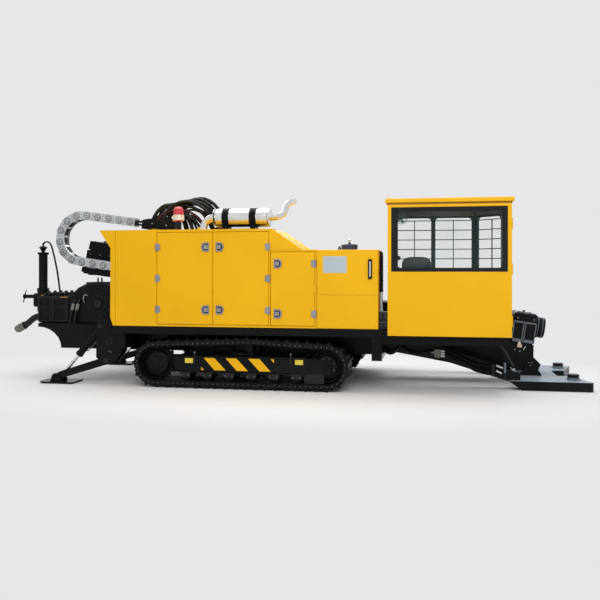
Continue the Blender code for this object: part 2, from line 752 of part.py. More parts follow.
# Doors: left edge, right edge, top, sign of the hinged side (-1 is the left edge)
HOOD_DOORS = (
    ("hood_door_1", -1.554, -0.784, 2.065, -1),
    ("hood_door_2", -0.778, -0.025, 2.065, 1),
    ("hood_door_3", 0.003, 0.583, 1.80, 1),
)
HINGE_HEIGHTS = (0.16, 0.50, 0.84)      # shares of a door's height
ENGINE_PLAN = ((-1.35, -1.00), (0.10, -0.45))
ENGINE_TOP = 1.72


def make_hood_shell():
    outer = [(HOOD_LIP_X, HOOD_TOP), (HOOD_LIP_X + 0.005, HOOD_TOP - 0.012),
             (HOOD_REAR_X + 0.004, HOOD_LIP_LOW), (HOOD_REAR_X, HOOD_FOOT[1]), (HOOD_FOOT[0], HOOD_BOTTOM),
             (HOOD_FRONT_X, HOOD_BOTTOM), (HOOD_FRONT_X, HOOD_STEP_Z), (HOOD_SLOPE_X[1], HOOD_STEP_Z),
             (HOOD_SLOPE_X[0], HOOD_TOP)]
    wall = HOOD_WALL
    inner = [(HOOD_REAR_X + wall, HOOD_BOTTOM - 0.1), (HOOD_FRONT_X - wall, HOOD_BOTTOM - 0.1),
             (HOOD_FRONT_X - wall, HOOD_STEP_Z - wall), (HOOD_SLOPE_X[1] - 0.01, HOOD_STEP_Z - wall),
             (HOOD_SLOPE_X[0] - 0.01, HOOD_TOP - wall), (HOOD_REAR_X + wall, HOOD_TOP - wall)]
    shell = plate(outer, HOOD_NEAR_Y, HOOD_FAR_Y)
    tools = [plate(inner, HOOD_NEAR_Y + HOOD_NEAR_WALL, HOOD_FAR_Y - wall)]
    rebate = DOOR_THICKNESS + SWING_GAP
    for group in ((HOOD_DOORS[0], HOOD_DOORS[1]), (HOOD_DOORS[2],)):
        left, right, top = group[0][1], group[-1][2], group[0][3]
        tools.append(box((left - SWING_GAP, HOOD_NEAR_Y - 0.01, DOOR_LOW - SWING_GAP),
                         (right + SWING_GAP, HOOD_NEAR_Y + rebate, top + SWING_GAP)))
        tools.append(box((left + DOOR_FLANGE, HOOD_NEAR_Y, DOOR_LOW + DOOR_FLANGE),
                         (right - DOOR_FLANGE, HOOD_NEAR_Y + 0.1, top - DOOR_FLANGE)))
    return cut(shell, *tools)


def make_hood_door(name, left, right, top, side):
    """A door round its hinge's axis, which is the origin of its frame."""
    hinge_x = (left if side < 0 else right) + side * HINGE_SHIFT
    low = (left - hinge_x, HINGE_STAND_OFF, DOOR_LOW)
    high = (right - hinge_x, HINGE_STAND_OFF + DOOR_THICKNESS, top)
    pieces = [rounded(box(low, high), 0.004)]
    height = top - DOOR_LOW
    for share in HINGE_HEIGHTS:
        z = DOOR_LOW + share * height
        knuckle = HINGE_LENGTH / 2
        pieces.append(rod((0, 0, z - knuckle), (0, 0, z + knuckle), HINGE_RADIUS, sides=12))
        leaf = -side * 0.05
        pieces.append(box((min(0, leaf), HINGE_RADIUS - 0.005, z - HINGE_LENGTH / 2),
                          (max(0, leaf), HINGE_RADIUS - 0.001, z + HINGE_LENGTH / 2)))
        inner = -side * HINGE_SHIFT * 1.1
        reach = HINGE_LENGTH / 2 - 0.001
        pieces.append(box((min(inner, leaf), HINGE_RADIUS - 0.002, z - reach),
                          (max(inner, leaf), HINGE_STAND_OFF + 0.004, z + reach)))
    latch_x = (right if side < 0 else left) - hinge_x + side * 0.095
    for share in (HINGE_HEIGHTS[0], HINGE_HEIGHTS[-1]):
        z = DOOR_LOW + share * height
        pieces.append(box((latch_x - 0.04, HINGE_STAND_OFF - 0.008, z - 0.05),
                          (latch_x + 0.04, HINGE_STAND_OFF + 0.004, z + 0.05)))
    empty = axis_empty(name + "_axis", (hinge_x, HOOD_NEAR_Y - HINGE_STAND_OFF, 0.0))
    node(name, fused(*pieces), YELLOW, empty)


def make_hood():
    node("hood_shell", make_hood_shell(), YELLOW)
    for row in HOOD_DOORS:
        make_hood_door(*row)
    engine_low = DECK_TOP + SEAT_GAP
    (rear, near), (front, far), high = ENGINE_PLAN[0], ENGINE_PLAN[1], ENGINE_TOP
    node("engine_block", rounded(box((rear, near, engine_low), (front, far, high)), 0.03), CAST)


# Filler cap: radius and height over the tank
FILLER_PROFILE = ((0.0, 0.108), (0.018, 0.108), (0.018, 0.085), (0.098, 0.08), (0.105, 0.07),
                  (0.105, SEAT_GAP), (0.0, SEAT_GAP))
FILLER_PLACE = (0.99, -0.80)


def make_tank():
    body = rounded(box((TANK_REAR_X, HOOD_NEAR_Y, HOOD_BOTTOM), (TANK_FRONT_X, HOOD_FAR_Y, TANK_TOP)), 0.006)
    node("hydraulic_tank", body, YELLOW)
    node("tank_filler", turned(FILLER_PROFILE, centre=(*FILLER_PLACE, TANK_TOP)), NAVY)


# Exhaust and beacon

MUFFLER_Y = -0.90
MUFFLER_Z = 2.268
MUFFLER_RADIUS = 0.126
MUFFLER_ENDS = (-0.821, -0.070)
STRAP_PLACES = (-0.659, -0.285)
STRAP_WIDTH = 0.09
STRAP_THICKNESS = 0.008
PIPE_RADIUS = 0.042


def make_exhaust():
    start, end = MUFFLER_ENDS
    half = (end - start) / 2
    can = turned([(0.0, half), (PIPE_RADIUS, half), (MUFFLER_RADIUS - 0.02, half - 0.006),
                  (MUFFLER_RADIUS, half - 0.03), (MUFFLER_RADIUS, -half + 0.03),
                  (MUFFLER_RADIUS - 0.02, -half + 0.006), (PIPE_RADIUS, -half), (0.0, -half)],
                 centre=(start + half, MUFFLER_Y, MUFFLER_Z), axis="X", steps=24)
    node("muffler", can, STAINLESS)
    saddle_low = HOOD_TOP + SEAT_GAP
    pieces = [box((STRAP_PLACES[0] - 0.08, MUFFLER_Y - 0.10, saddle_low),
                  (STRAP_PLACES[1] + 0.08, MUFFLER_Y + 0.10, saddle_low + 0.018))]
    bore = MUFFLER_RADIUS + SEAT_GAP
    outer = bore + STRAP_THICKNESS
    width = STRAP_WIDTH / 2
    for x in STRAP_PLACES:
        pieces.append(turned([(0.0, width), (outer, width), (outer, -width), (0.0, -width)],
                             centre=(x, MUFFLER_Y, MUFFLER_Z), axis="X", steps=24))
        pieces.append(box((x - width * 0.8, MUFFLER_Y - 0.095, saddle_low + 0.01),
                          (x + width * 0.8, MUFFLER_Y + 0.095, MUFFLER_Z - 0.05)))
    hollow = turned([(0.0, half + 0.1), (bore, half + 0.1), (bore, -half - 0.1), (0.0, -half - 0.1)],
                    centre=(start + half, MUFFLER_Y, MUFFLER_Z), axis="X", steps=24)
    node("muffler_straps", cut(fused(*pieces), hollow), BLACK)
    route = smooth_route([(end + 0.03, MUFFLER_Y, MUFFLER_Z), (0.05, MUFFLER_Y, MUFFLER_Z + 0.01),
                          (0.13, MUFFLER_Y, MUFFLER_Z + 0.06), (0.155, MUFFLER_Y, MUFFLER_Z + 0.14),
                          (0.21, MUFFLER_Y, MUFFLER_Z + 0.20), (0.29, MUFFLER_Y, MUFFLER_Z + 0.215)], 4)
    route.insert(0, Vector((end + SEAT_GAP, MUFFLER_Y, MUFFLER_Z)))
    node("exhaust_pipe", tube(route, PIPE_RADIUS), STAINLESS)
    inlet = smooth_route([(start - 0.02, MUFFLER_Y, MUFFLER_Z), (start - 0.08, MUFFLER_Y, MUFFLER_Z - 0.005),
                          (start - 0.15, MUFFLER_Y, MUFFLER_Z - 0.06),
                          (start - 0.17, MUFFLER_Y, HOOD_TOP + 0.03)], 4)
    inlet.insert(0, Vector((start - SEAT_GAP, MUFFLER_Y, MUFFLER_Z)))
    inlet.append(Vector((start - 0.17, MUFFLER_Y, HOOD_TOP + SEAT_GAP)))
    node("exhaust_inlet", tube(inlet, PIPE_RADIUS + 0.01), BLACK)


BEACON_X = -1.315
BEACON_Y = -1.0
# Radius and height over the hood, from the lens down to the foot
BEACON_PROFILE = ((0.0, 0.325), (0.04, 0.32), (0.062, 0.295), (0.068, 0.21), (0.075, 0.20), (0.075, 0.13),
                  (0.04, 0.12), (0.04, 0.012), (0.07, 0.012), (0.07, 0.0), (0.0, 0.0))


def make_beacon():
    node("beacon", turned(BEACON_PROFILE, centre=(BEACON_X, BEACON_Y, HOOD_TOP + SEAT_GAP)), RED)


# Cab

def cab_outline(inset):
    """Plan of the cab's walls, with the far front corner cut off."""
    slope = inset * math.tan(math.pi / 8)
    return [(CAB_REAR_X + inset, CAB_NEAR_Y + inset), (CAB_FRONT_X - inset, CAB_NEAR_Y + inset),
            (CAB_FRONT_X - inset, CAB_CHAMFER_Y - slope), (CAB_CHAMFER_X - slope, CAB_FAR_Y - inset),
            (CAB_REAR_X + inset, CAB_FAR_Y - inset)]


CAB_DOOR_NEAR_Y = -1.115
CAB_DOOR_FAR_Y = -0.66
CAB_DOOR_LOW = 0.79
CAB_DOOR_HIGH = CAB_TOP - 0.05
CAB_DOOR_WINDOW_LOW = 1.35
CAB_HINGE_LENGTH = 0.14
CAB_HINGE_LEAF = 0.05
GRIP_LOW = 1.12          # the door's grip
GRIP_HIGH = 1.31
GRIP_THICKNESS = 0.02
FAR_WINDOWS = ((1.60, 2.06), (2.11, 2.60))
FAR_WINDOW_LOW = 1.294
FAR_WINDOW_HIGH = CAB_TOP - 0.13


def chamfer_frame():
    """Matrix of the cut-off corner: x along it from its far end, y out of the cab."""
    start = Vector((CAB_CHAMFER_X, CAB_FAR_Y, 0.0))
    end = Vector((CAB_FRONT_X, CAB_CHAMFER_Y, 0.0))
    along = (end - start).normalized()
    outward = Vector((-along.y, along.x, 0.0))
    frame = Matrix.Identity(4)
    for row in range(3):
        frame[row][0], frame[row][1], frame[row][3] = along[row], outward[row], start[row]
    frame[2][2] = 1.0
    return frame, (end - start).length


def make_cab_shell():
    shell = plate(cab_outline(0.0), CAB_BOTTOM, CAB_TOP, axis="Z")
    tools = [plate(cab_outline(CAB_WALL), CAB_BOTTOM - 0.1, CAB_TOP + 0.1, axis="Z")]
    tools.append(box((WINDOW_REAR_X, CAB_NEAR_Y - 0.1, WINDOW_LOW),
                     (WINDOW_FRONT_X, CAB_NEAR_Y + 0.1, WINDOW_HIGH)))
    for start, end in FAR_WINDOWS:
        tools.append(box((start, CAB_FAR_Y - 0.1, FAR_WINDOW_LOW), (end, CAB_FAR_Y + 0.1, FAR_WINDOW_HIGH)))
    frame, length = chamfer_frame()
    pane = box((0.06, -0.1, FAR_WINDOW_LOW), (length - 0.06, 0.1, FAR_WINDOW_HIGH))
    pane.data.transform(frame)
    tools.append(pane)
    tools.append(box((CAB_FRONT_X - 0.1, CAB_DOOR_NEAR_Y - SWING_GAP, CAB_DOOR_LOW - SWING_GAP),
                     (CAB_FRONT_X + 0.1, CAB_DOOR_FAR_Y + SWING_GAP, CAB_DOOR_HIGH + SWING_GAP)))
    return cut(shell, *tools)


def make_cab():
    node("cab_shell", make_cab_shell(), YELLOW)
    roof_low = CAB_TOP + SEAT_GAP
    roof = plate(cab_outline(-ROOF_OVERHANG), roof_low, roof_low + ROOF_THICKNESS, axis="Z")
    node("cab_roof", rounded(roof, 0.008), YELLOW)
    floor = plate(cab_outline(CAB_WALL + SEAT_GAP), CAB_BOTTOM, CAB_BOTTOM + CAB_FLOOR, axis="Z")
    node("cab_floor", floor, BLACK)
    pane_half = GLASS_THICKNESS / 2
    near_y = CAB_NEAR_Y + 0.012
    near = box((WINDOW_REAR_X + SEAT_GAP, near_y - pane_half, WINDOW_LOW + SEAT_GAP),
               (WINDOW_FRONT_X - SEAT_GAP, near_y + pane_half, WINDOW_HIGH - SEAT_GAP))
    node("cab_glass_near", near, GLASS)
    far_y = CAB_FAR_Y - 0.012
    for place, (start, end) in enumerate(FAR_WINDOWS):
        pane = box((start + SEAT_GAP, far_y - pane_half, FAR_WINDOW_LOW + SEAT_GAP),
                   (end - SEAT_GAP, far_y + pane_half, FAR_WINDOW_HIGH - SEAT_GAP))
        node("cab_glass_far_" + str(place + 1), pane, GLASS)
    frame, length = chamfer_frame()
    corner = box((0.06 + SEAT_GAP, -0.015, FAR_WINDOW_LOW + SEAT_GAP),
                 (length - 0.06 - SEAT_GAP, -0.015 + GLASS_THICKNESS, FAR_WINDOW_HIGH - SEAT_GAP))
    corner.data.transform(frame)
    node("cab_glass_corner", corner, GLASS)
    make_cab_guard()
    make_cab_door()
    make_cab_inside()


GUARD_BAR = 0.012
GUARD_STAND_OFF = 0.014
GUARD_THICKNESS = 0.010
GUARD_TOP = CAB_TOP - 0.168          # middle of the highest bar
GUARD_PITCH = 0.1305
GUARD_ROWS = 8
GUARD_COLUMNS = (1.575, 1.83, 2.085, 2.355, 2.658)


def guard_panel(columns):
    """A flat grid of bars: outline and holes as (x, z), with the bars' middles at the columns."""
    half = GUARD_BAR / 2
    rows = [GUARD_TOP - place * GUARD_PITCH for place in range(GUARD_ROWS)]
    left, right, high, low = columns[0] - half, columns[-1] + half, rows[0] + half, rows[-1] - half
    outline = [(left, low), (right, low), (right, high), (left, high)]
    holes = []
    for start, end in zip(columns, columns[1:]):
        for top, bottom in zip(rows, rows[1:]):
            holes.append([(start + half, bottom + half), (end - half, bottom + half),
                          (end - half, top - half), (start + half, top - half)])
    return plate(outline, GUARD_STAND_OFF, GUARD_STAND_OFF + GUARD_THICKNESS, holes=holes)


def make_cab_guard():
    """Grids of bars in front of the far windows and of the cut-off corner, welded to one another."""
    frame, length = chamfer_frame()
    corner = guard_panel((0.004, length * 0.5, length - 0.03))
    corner.data.transform(frame)
    pieces = [shifted(guard_panel(GUARD_COLUMNS), CAB_FAR_Y), corner]
    block = 0.015
    for x in (GUARD_COLUMNS[0], GUARD_COLUMNS[2]):
        for z in (GUARD_TOP, GUARD_TOP - (GUARD_ROWS - 1) * GUARD_PITCH):
            pieces.append(box((x - block, CAB_FAR_Y + SEAT_GAP, z - block),
                              (x + block, CAB_FAR_Y + GUARD_STAND_OFF + 0.002, z + block)))
    node("cab_guard", fused(*pieces), BLACK)


def make_cab_door():
    """Front door with a window, hinged at its near edge."""
    axis_x = CAB_FRONT_X + HINGE_STAND_OFF
    axis_y = CAB_DOOR_NEAR_Y - HINGE_SHIFT
    thickness = CAB_WALL - 0.008
    face = -HINGE_STAND_OFF
    width = CAB_DOOR_FAR_Y - axis_y
    start = HINGE_SHIFT
    panel = box((face - thickness, start, CAB_DOOR_LOW), (face, width, CAB_DOOR_HIGH))
    border = 0.07
    window_low = CAB_DOOR_WINDOW_LOW
    window_high = CAB_DOOR_HIGH - border
    panel = cut(rounded(panel, 0.004), box((face - 0.1, start + border, window_low),
                                           (face + 0.1, width - border, window_high)))
    pieces = [panel]
    knuckle = CAB_HINGE_LENGTH / 2
    leaf = CAB_HINGE_LEAF
    for z in (CAB_DOOR_LOW + 0.14, (CAB_DOOR_LOW + CAB_DOOR_HIGH) / 2, CAB_DOOR_HIGH - 0.22):
        pieces.append(rod((0, 0, z - knuckle), (0, 0, z + knuckle), HINGE_RADIUS, sides=12))
        pieces.append(box((-HINGE_RADIUS + 0.001, 0.0, z - knuckle),
                          (-HINGE_RADIUS + 0.005, leaf, z + knuckle)))
        pieces.append(box((face - 0.004, HINGE_SHIFT * 1.1, z - knuckle + 0.001),
                          (-HINGE_RADIUS + 0.002, leaf, z + knuckle - 0.001)))
    grip_far = width - 0.035
    grip_near = grip_far - GRIP_THICKNESS
    grip_out = face + 0.035
    for low in (GRIP_LOW, GRIP_HIGH - 0.03):
        pieces.append(box((face - 0.004, grip_near, low), (grip_out - 0.005, grip_far, low + 0.03)))
    pieces.append(box((grip_out - 0.015, grip_near, GRIP_LOW), (grip_out, grip_far, GRIP_HIGH)))
    empty = axis_empty("cab_door_axis", (axis_x, axis_y, 0.0))
    node("cab_door", fused(*pieces), YELLOW, empty)
    middle = face - thickness / 2
    pane = box((middle - GLASS_THICKNESS / 2, start + border + SEAT_GAP, window_low + SEAT_GAP),
               (middle + GLASS_THICKNESS / 2, width - border - SEAT_GAP, window_high - SEAT_GAP))
    node("cab_glass_door", pane, GLASS, empty)


# Inside the cab, as low and high corners: the floor's height is added to what stands on it
SEAT_BASE = ((1.80, -0.90, 0.0), (2.10, -0.56, 0.3047))
SEAT_CUSHION = ((1.74, -0.98, 1.07), (2.24, -0.48, 1.20))
SEAT_BACK = ((1.66, -0.96, 1.16), (1.79, -0.50, 1.69))
CONSOLE = ((2.36, -1.05), (2.60, -0.42), 1.30)
LEVERS_Y = (-0.90, -0.57)
LEVER = ((2.44, 1.28), (2.40, 1.47), 0.010)          # foot, top and radius
LEVER_KNOB = ((2.402, 1.46), (2.392, 1.53), 0.022, 0.018)


def make_cab_inside():
    floor_top = CAB_BOTTOM + CAB_FLOOR + SEAT_GAP
    (rear, near, foot), (front, far, high) = SEAT_BASE
    base = rounded(box((rear, near, floor_top + foot), (front, far, floor_top + high)), 0.01)
    cushion = rounded(box(*SEAT_CUSHION), 0.04, 2)
    back = rounded(box(*SEAT_BACK), 0.045, 2)
    node("seat", fused(base, cushion, back), SOOT)
    (rear, near), (front, far), high = CONSOLE
    pieces = [rounded(box((rear, near, floor_top), (front, far, high)), 0.02)]
    for y in LEVERS_Y:
        (foot_x, foot_z), (top_x, top_z), radius = LEVER
        pieces.append(rod((foot_x, y, foot_z), (top_x, y, top_z), radius, sides=10))
        (low_x, low_z), (high_x, high_z), low_radius, high_radius = LEVER_KNOB
        pieces.append(rod((low_x, y, low_z), (high_x, y, high_z), low_radius, high_radius, sides=12))
    node("console", fused(*pieces), SOOT)


# Mast

def mast_empty():
    return axis_empty("mast_pivot", (PIVOT_X, MAST_Y, PIVOT_Z), pitch=MAST_PITCH)


def mast_from_world(x, z):
    """World X and Z as x and z of the mast's frame."""
    dx, dz = x - PIVOT_X, z - PIVOT_Z
    cosine, sine = math.cos(MAST_PITCH), math.sin(MAST_PITCH)
    return dx * cosine - dz * sine, dx * sine + dz * cosine


# Side plates of the mast's nose, down to its pivot
NOSE = ((-1.90, MAST_LOW + 0.01), (-1.86, 0.19), (-0.45, -0.02), (-0.09, -0.05), (-0.04, -0.07),
        (0.04, -0.07), (0.10, -0.045), (0.13, 0.068), (0.021, 0.151), (0.0, VISE_LOW - SEAT_GAP),
        (-0.32, VISE_LOW - SEAT_GAP), (-0.34, MAST_LOW + 0.01))
NOSE_PLATE = 0.05

# Stops at the mast's rear end: inset from each side, and outline with x from the rear end
TAIL_STEPS = (
    (0.02, ((0.002, MAST_HIGH - 0.02), (0.006, 0.727), (0.53, 0.727), (0.53, MAST_HIGH - 0.02))),
    (0.05, ((0.04, 0.71), (0.04, 0.76), (0.50, 0.76), (0.50, 0.71))),
    (0.03, ((0.02, 0.742), (0.035, 0.872), (0.48, 0.872), (0.48, 0.742))),
)
TRAY_WIDTH = 0.24
TRAY_STEP = (0.092, 0.009)      # length of the thinner rear lip and its step


def make_mast_beam():
    half = MAST_WIDTH / 2
    inside = half - RAIL_WIDTH
    section = [(-half, MAST_LOW), (half, MAST_LOW), (half, MAST_HIGH), (inside, MAST_HIGH),
               (inside, MAST_LOW + MAST_FLOOR), (-inside, MAST_LOW + MAST_FLOOR), (-inside, MAST_HIGH),
               (-half, MAST_HIGH)]
    trough = plate(section, MAST_REAR, VISE_REAR - SEAT_GAP, axis="X")
    bay = box((VISE_BAY_REAR, -half - 0.1, MAST_LOW + MAST_FLOOR + 0.001),
              (VISE_REAR + 0.1, half + 0.1, MAST_HIGH + 0.1))
    pieces = [cut(trough, bay)]
    for side in (-1, 1):
        outer = side * half
        inner = side * (half - NOSE_PLATE)
        pieces.append(plate(NOSE, min(outer, inner), max(outer, inner)))
    tie = half - 0.02
    pieces.append(box((-0.33, -tie, 0.17), (-0.02, tie, 0.21)))
    pieces.append(box((-0.30, -tie, VISE_LOW - 0.05), (-0.01, tie, VISE_LOW - SEAT_GAP)))
    for inset, outline in TAIL_STEPS:
        pieces.append(plate([(MAST_REAR + x, z) for x, z in outline], inset - half, half - inset))
    tray_top = CHAIN_UPPER_Z - 2 * CHAIN_TURN_RADIUS - CHAIN_HEIGHT / 2 - SEAT_GAP
    tray_front = CHAIN_LOWER_END + 0.1
    lip, step = TRAY_STEP
    tray = [(TRAY_REAR, tray_top), (TRAY_REAR - 0.004, TRAY_LOW), (TRAY_REAR + lip, TRAY_LOW),
            (TRAY_REAR + lip, TRAY_LOW - step), (tray_front, TRAY_LOW - step), (tray_front, tray_top)]
    pieces.append(plate(tray, -half - TRAY_WIDTH, -half + 0.02))
    eye_x, eye_z = mast_from_world(*RAM_EYE)
    lug = [(eye_x - 0.10, MAST_LOW + 0.01), (eye_x - 0.05, eye_z - 0.045), (eye_x + 0.05, eye_z - 0.045),
           (eye_x + 0.10, MAST_LOW + 0.01)]
    outer = RAM_SPREAD + RAM_EYE_WIDTH / 2 + SWING_GAP
    pieces.append(plate(lug, outer, outer + LUG_PLATE))
    pieces.append(plate(lug, -outer - LUG_PLATE, -outer))
    return fused(*pieces)


def make_vise_front():
    """Fixed clamp at the drilling end, bored for the drill pipe."""
    half = MAST_WIDTH / 2
    body = rounded(box((VISE_REAR, -half, VISE_LOW), (VISE_FRONT, half, VISE_HIGH)), 0.02)
    tools = [rod((VISE_REAR - 0.1, 0, DRILL_AXIS), (VISE_FRONT + 0.3, 0, DRILL_AXIS), BORE_RADIUS, sides=24)]
    for x in (VISE_REAR + 0.05, VISE_REAR + 0.17):
        tools.append(box((x, -half - 0.1, 0.40), (x + 0.07, -half + 0.03, 0.52)))
        tools.append(box((x, half - 0.03, 0.40), (x + 0.07, half + 0.1, 0.52)))
    collar_start, collar_end = VISE_FRONT - 0.02, VISE_FRONT + 0.135
    collar = rod((collar_start, 0, DRILL_AXIS), (collar_end, 0, DRILL_AXIS), 0.15, 0.14, sides=24)
    return cut(fused(body, collar), *tools)


def make_vise_rear():
    """Breakout clamp round the drill axis, which is the x axis of its frame."""
    radius = 0.15
    pieces = [rod((-0.16, 0, 0), (0.16, 0, 0), radius, sides=12)]
    for side in (-1, 1):
        pieces.append(rod((0, side * 0.10, 0), (0, side * 0.235, 0), 0.065, sides=16))
    pieces.append(rod((0.158, 0, 0), (VISE_REAR - PIN_GAP - VISE_AXIS_X, 0, 0), 0.13, sides=24))
    return cut(fused(*pieces), rod((-0.3, 0, 0), (0.3, 0, 0), BORE_RADIUS, sides=24))


def make_carriage():
    """Power head: slide frame on the rails, gearbox, motors and the arm of the drag chain."""
    half = MAST_WIDTH / 2
    low = MAST_HIGH + PIN_GAP
    pieces = [box((CARRIAGE_REAR, -half, low), (CARRIAGE_FRONT, half, CARRIAGE_HIGH))]
    rear = GEARBOX_FRONT - GEARBOX_LENGTH
    gearbox = [(rear, 0.45), (GEARBOX_FRONT, 0.45), (GEARBOX_FRONT, GEARBOX_HIGH - 0.10),
               (GEARBOX_FRONT - 0.08, GEARBOX_HIGH), (rear + 0.06, GEARBOX_HIGH),
               (rear, GEARBOX_HIGH - 0.06)]
    inside = half - RAIL_WIDTH - SWING_GAP
    pieces.append(box((rear, -inside, 0.44), (GEARBOX_FRONT, inside, low + 0.02)))
    pieces.append(plate([(x, max(z, low + 0.01)) for x, z in gearbox], -0.19, 0.19))
    for y, z in ((-0.10, 0.90), (0.10, 0.90), (0.0, 0.76)):
        pieces.append(rod((rear - 0.30, y, z), (rear + 0.02, y, z), 0.075, sides=16))
        pieces.append(rod((rear - 0.42, y, z), (rear - 0.29, y, z), 0.055, sides=16))
    return fused(*pieces)


def make_spindle():
    radius = SPINDLE_RADIUS
    profile = [(0.0, SPINDLE_LENGTH), (radius * 0.7, SPINDLE_LENGTH), (radius, SPINDLE_LENGTH - 0.08),
               (radius, 0.05), (0.10, 0.05), (0.10, 0.0), (0.0, 0.0)]
    return turned(profile, axis="X")


ARM_THICKNESS = 0.04


def make_chain_arm():
    """Arm from the carriage up to the free end of the drag chain."""
    start = CHAIN_UPPER_START + SEAT_GAP
    shelf_high = CHAIN_UPPER_Z - 0.01
    low = CARRIAGE_HIGH + SEAT_GAP
    near = CHAIN_Y - MAST_Y - CHAIN_WIDTH / 2
    post = box((-5.42, -0.24, low), (-5.34, -0.16, shelf_high - 0.01))
    foot = box((-5.50, -0.248, low), (-5.26, -0.10, low + 0.02))
    shelf = box((start, near, shelf_high - 0.03), (-5.27, -0.15, shelf_high))
    cheek = box((start + 0.12, near, shelf_high - 0.07), (-5.28, near + 0.015, shelf_high + 0.02))
    return fused(post, foot, shelf, cheek)


# Hoses between the chain's arm and the power head: points as world X, Y and Z
HOSE_ARCS = (
    ((-2.02, -0.13, 2.27), (-1.97, -0.13, 2.42), (-1.83, -0.12, 2.53), (-1.66, -0.09, 2.50),
     (-1.56, -0.05, 2.33), (-1.52, 0.02, 2.10), (-1.50, 0.08, 1.93)),
    ((-1.86, -0.18, 2.25), (-1.75, -0.18, 2.48), (-1.50, -0.16, 2.58), (-1.25, -0.10, 2.48),
     (-1.12, 0.0, 2.25), (-1.08, 0.10, 2.05), (-1.10, 0.15, 1.90)),
    ((-1.74, -0.08, 2.23), (-1.62, -0.08, 2.47), (-1.40, -0.05, 2.62), (-1.20, 0.02, 2.54),
     (-1.06, 0.12, 2.30), (-1.02, 0.20, 2.05), (-1.03, 0.25, 1.88)),
)
HOSE_SHIFTS = ((0.0, 0.0, 0.0), (0.055, 0.058, 0.014))     # each arc is a pair of hoses
HOSE_RADIUS = 0.026


def make_hose_arcs():
    """Hoses between a block on the chain's arm and a block on the gearbox."""
    shelf = CHAIN_UPPER_Z - 0.01 + SEAT_GAP
    pieces = [box((-5.68, -0.436, shelf), (-5.30, -0.28, shelf + 0.05)),
              box((-5.13, -0.19, GEARBOX_HIGH + SEAT_GAP), (-4.50, 0.03, GEARBOX_HIGH + 0.05))]
    for arc in HOSE_ARCS:
        for shift_x, shift_y, shift_z in HOSE_SHIFTS:
            route = []
            for x, y, z in arc:
                along, up = mast_from_world(x + shift_x, z + shift_z)
                route.append((along, y + shift_y - MAST_Y, up))
            pieces.append(tube(smooth_route(route, 3), HOSE_RADIUS, 1))
    return fused(*pieces)


def chain_point(distance, outward):
    """x and z at a distance from the chain's free end and a height outside its middle line."""
    turn_z = CHAIN_UPPER_Z - CHAIN_TURN_RADIUS
    if distance < CHAIN_UPPER_RUN:
        return CHAIN_UPPER_START - distance, CHAIN_UPPER_Z + outward
    if distance < CHAIN_UPPER_RUN + CHAIN_BEND:
        angle = math.pi / 2 + (distance - CHAIN_UPPER_RUN) / CHAIN_TURN_RADIUS
        radius = CHAIN_TURN_RADIUS + outward
        return CHAIN_TURN_X + radius * math.cos(angle), turn_z + radius * math.sin(angle)
    along = distance - CHAIN_UPPER_RUN - CHAIN_BEND
    return CHAIN_TURN_X + along, turn_z - CHAIN_TURN_RADIUS - outward


# Edge of a link: share of the pitch after its pin, drop below the full height
LINK_EDGE = ((0.12, 0.0), (0.50, 0.010), (0.88, 0.0))


def strip(rings):
    """A solid from a row of rings with equally many points, closed at both ends."""
    solid = bmesh.new()
    made = [[solid.verts.new(point) for point in ring] for ring in rings]
    for first, second in zip(made, made[1:]):
        for place in range(len(first)):
            after = (place + 1) % len(first)
            solid.faces.new((first[place], first[after], second[after], second[place]))
    solid.faces.new(made[0][::-1])
    solid.faces.new(made[-1])
    bmesh.ops.recalc_face_normals(solid, faces=solid.faces)
    return from_bmesh(solid)


def chain_ring(distance, section):
    """A section of (y, outward) across the chain, set at a distance from its free end."""
    ring = []
    for y, outward in section:
        x, z = chain_point(distance, outward)
        ring.append((x, y, z))
    return ring


def chain_band(low_y, high_y):
    """One side of the chain: a row of link plates, each with a slight waist between its pins."""
    half = CHAIN_HEIGHT / 2
    stations = [(0.0, half)]
    for link in range(CHAIN_OPEN_LINKS):
        for share, drop in LINK_EDGE:
            stations.append((CHAIN_TIP + (link + share) * CHAIN_PITCH, half - drop))
    stations.append((CHAIN_LENGTH, half))
    rings = []
    for distance, height in stations:
        section = ((low_y, height), (high_y, height), (high_y, -half), (low_y, -half))
        rings.append(chain_ring(distance, section))
    return strip(rings)


def chain_bar(distance, low, high):
    """A flat bar across the chain, between two heights outside its middle line."""
    reach = CHAIN_WIDTH / 2 - CHAIN_PLATE + 0.002
    middle = CHAIN_Y - MAST_Y
    start, end = distance - CHAIN_BAR_WIDTH / 2, distance + CHAIN_BAR_WIDTH / 2
    corners = ((start, low), (end, low), (end, high), (start, high))
    outline = [chain_point(along, outward) for along, outward in corners]
    return plate(outline, middle - reach, middle + reach)


def make_cable_chain():
    """Steel drag chain in its parked bend: two bands of link plates, their pins' bosses and cross bars."""
    middle = CHAIN_Y - MAST_Y
    near = middle - CHAIN_WIDTH / 2
    far = middle + CHAIN_WIDTH / 2
    edge = CHAIN_HEIGHT / 2 - 0.006
    pieces = [chain_band(near, near + CHAIN_PLATE), chain_band(far - CHAIN_PLATE, far)]
    for link in range(CHAIN_OPEN_LINKS):
        pin = CHAIN_TIP + link * CHAIN_PITCH
        x, z = chain_point(pin, 0.0)
        top = near - CHAIN_BOSS_HEIGHT
        pieces.append(rod((x, top, z), (x, near + 0.004, z), CHAIN_BOSS_RADIUS, sides=12))
        bar = pin + CHAIN_PITCH / 2
        pieces.append(chain_bar(bar, -edge, CHAIN_BAR - edge))
        pieces.append(chain_bar(bar, edge - CHAIN_BAR - 0.008, edge - 0.008))
    last = CHAIN_LENGTH - CHAIN_PITCH / 2
    pieces.append(chain_bar(last, edge - CHAIN_BAR - 0.008, edge - 0.008))
    return fused(*pieces)


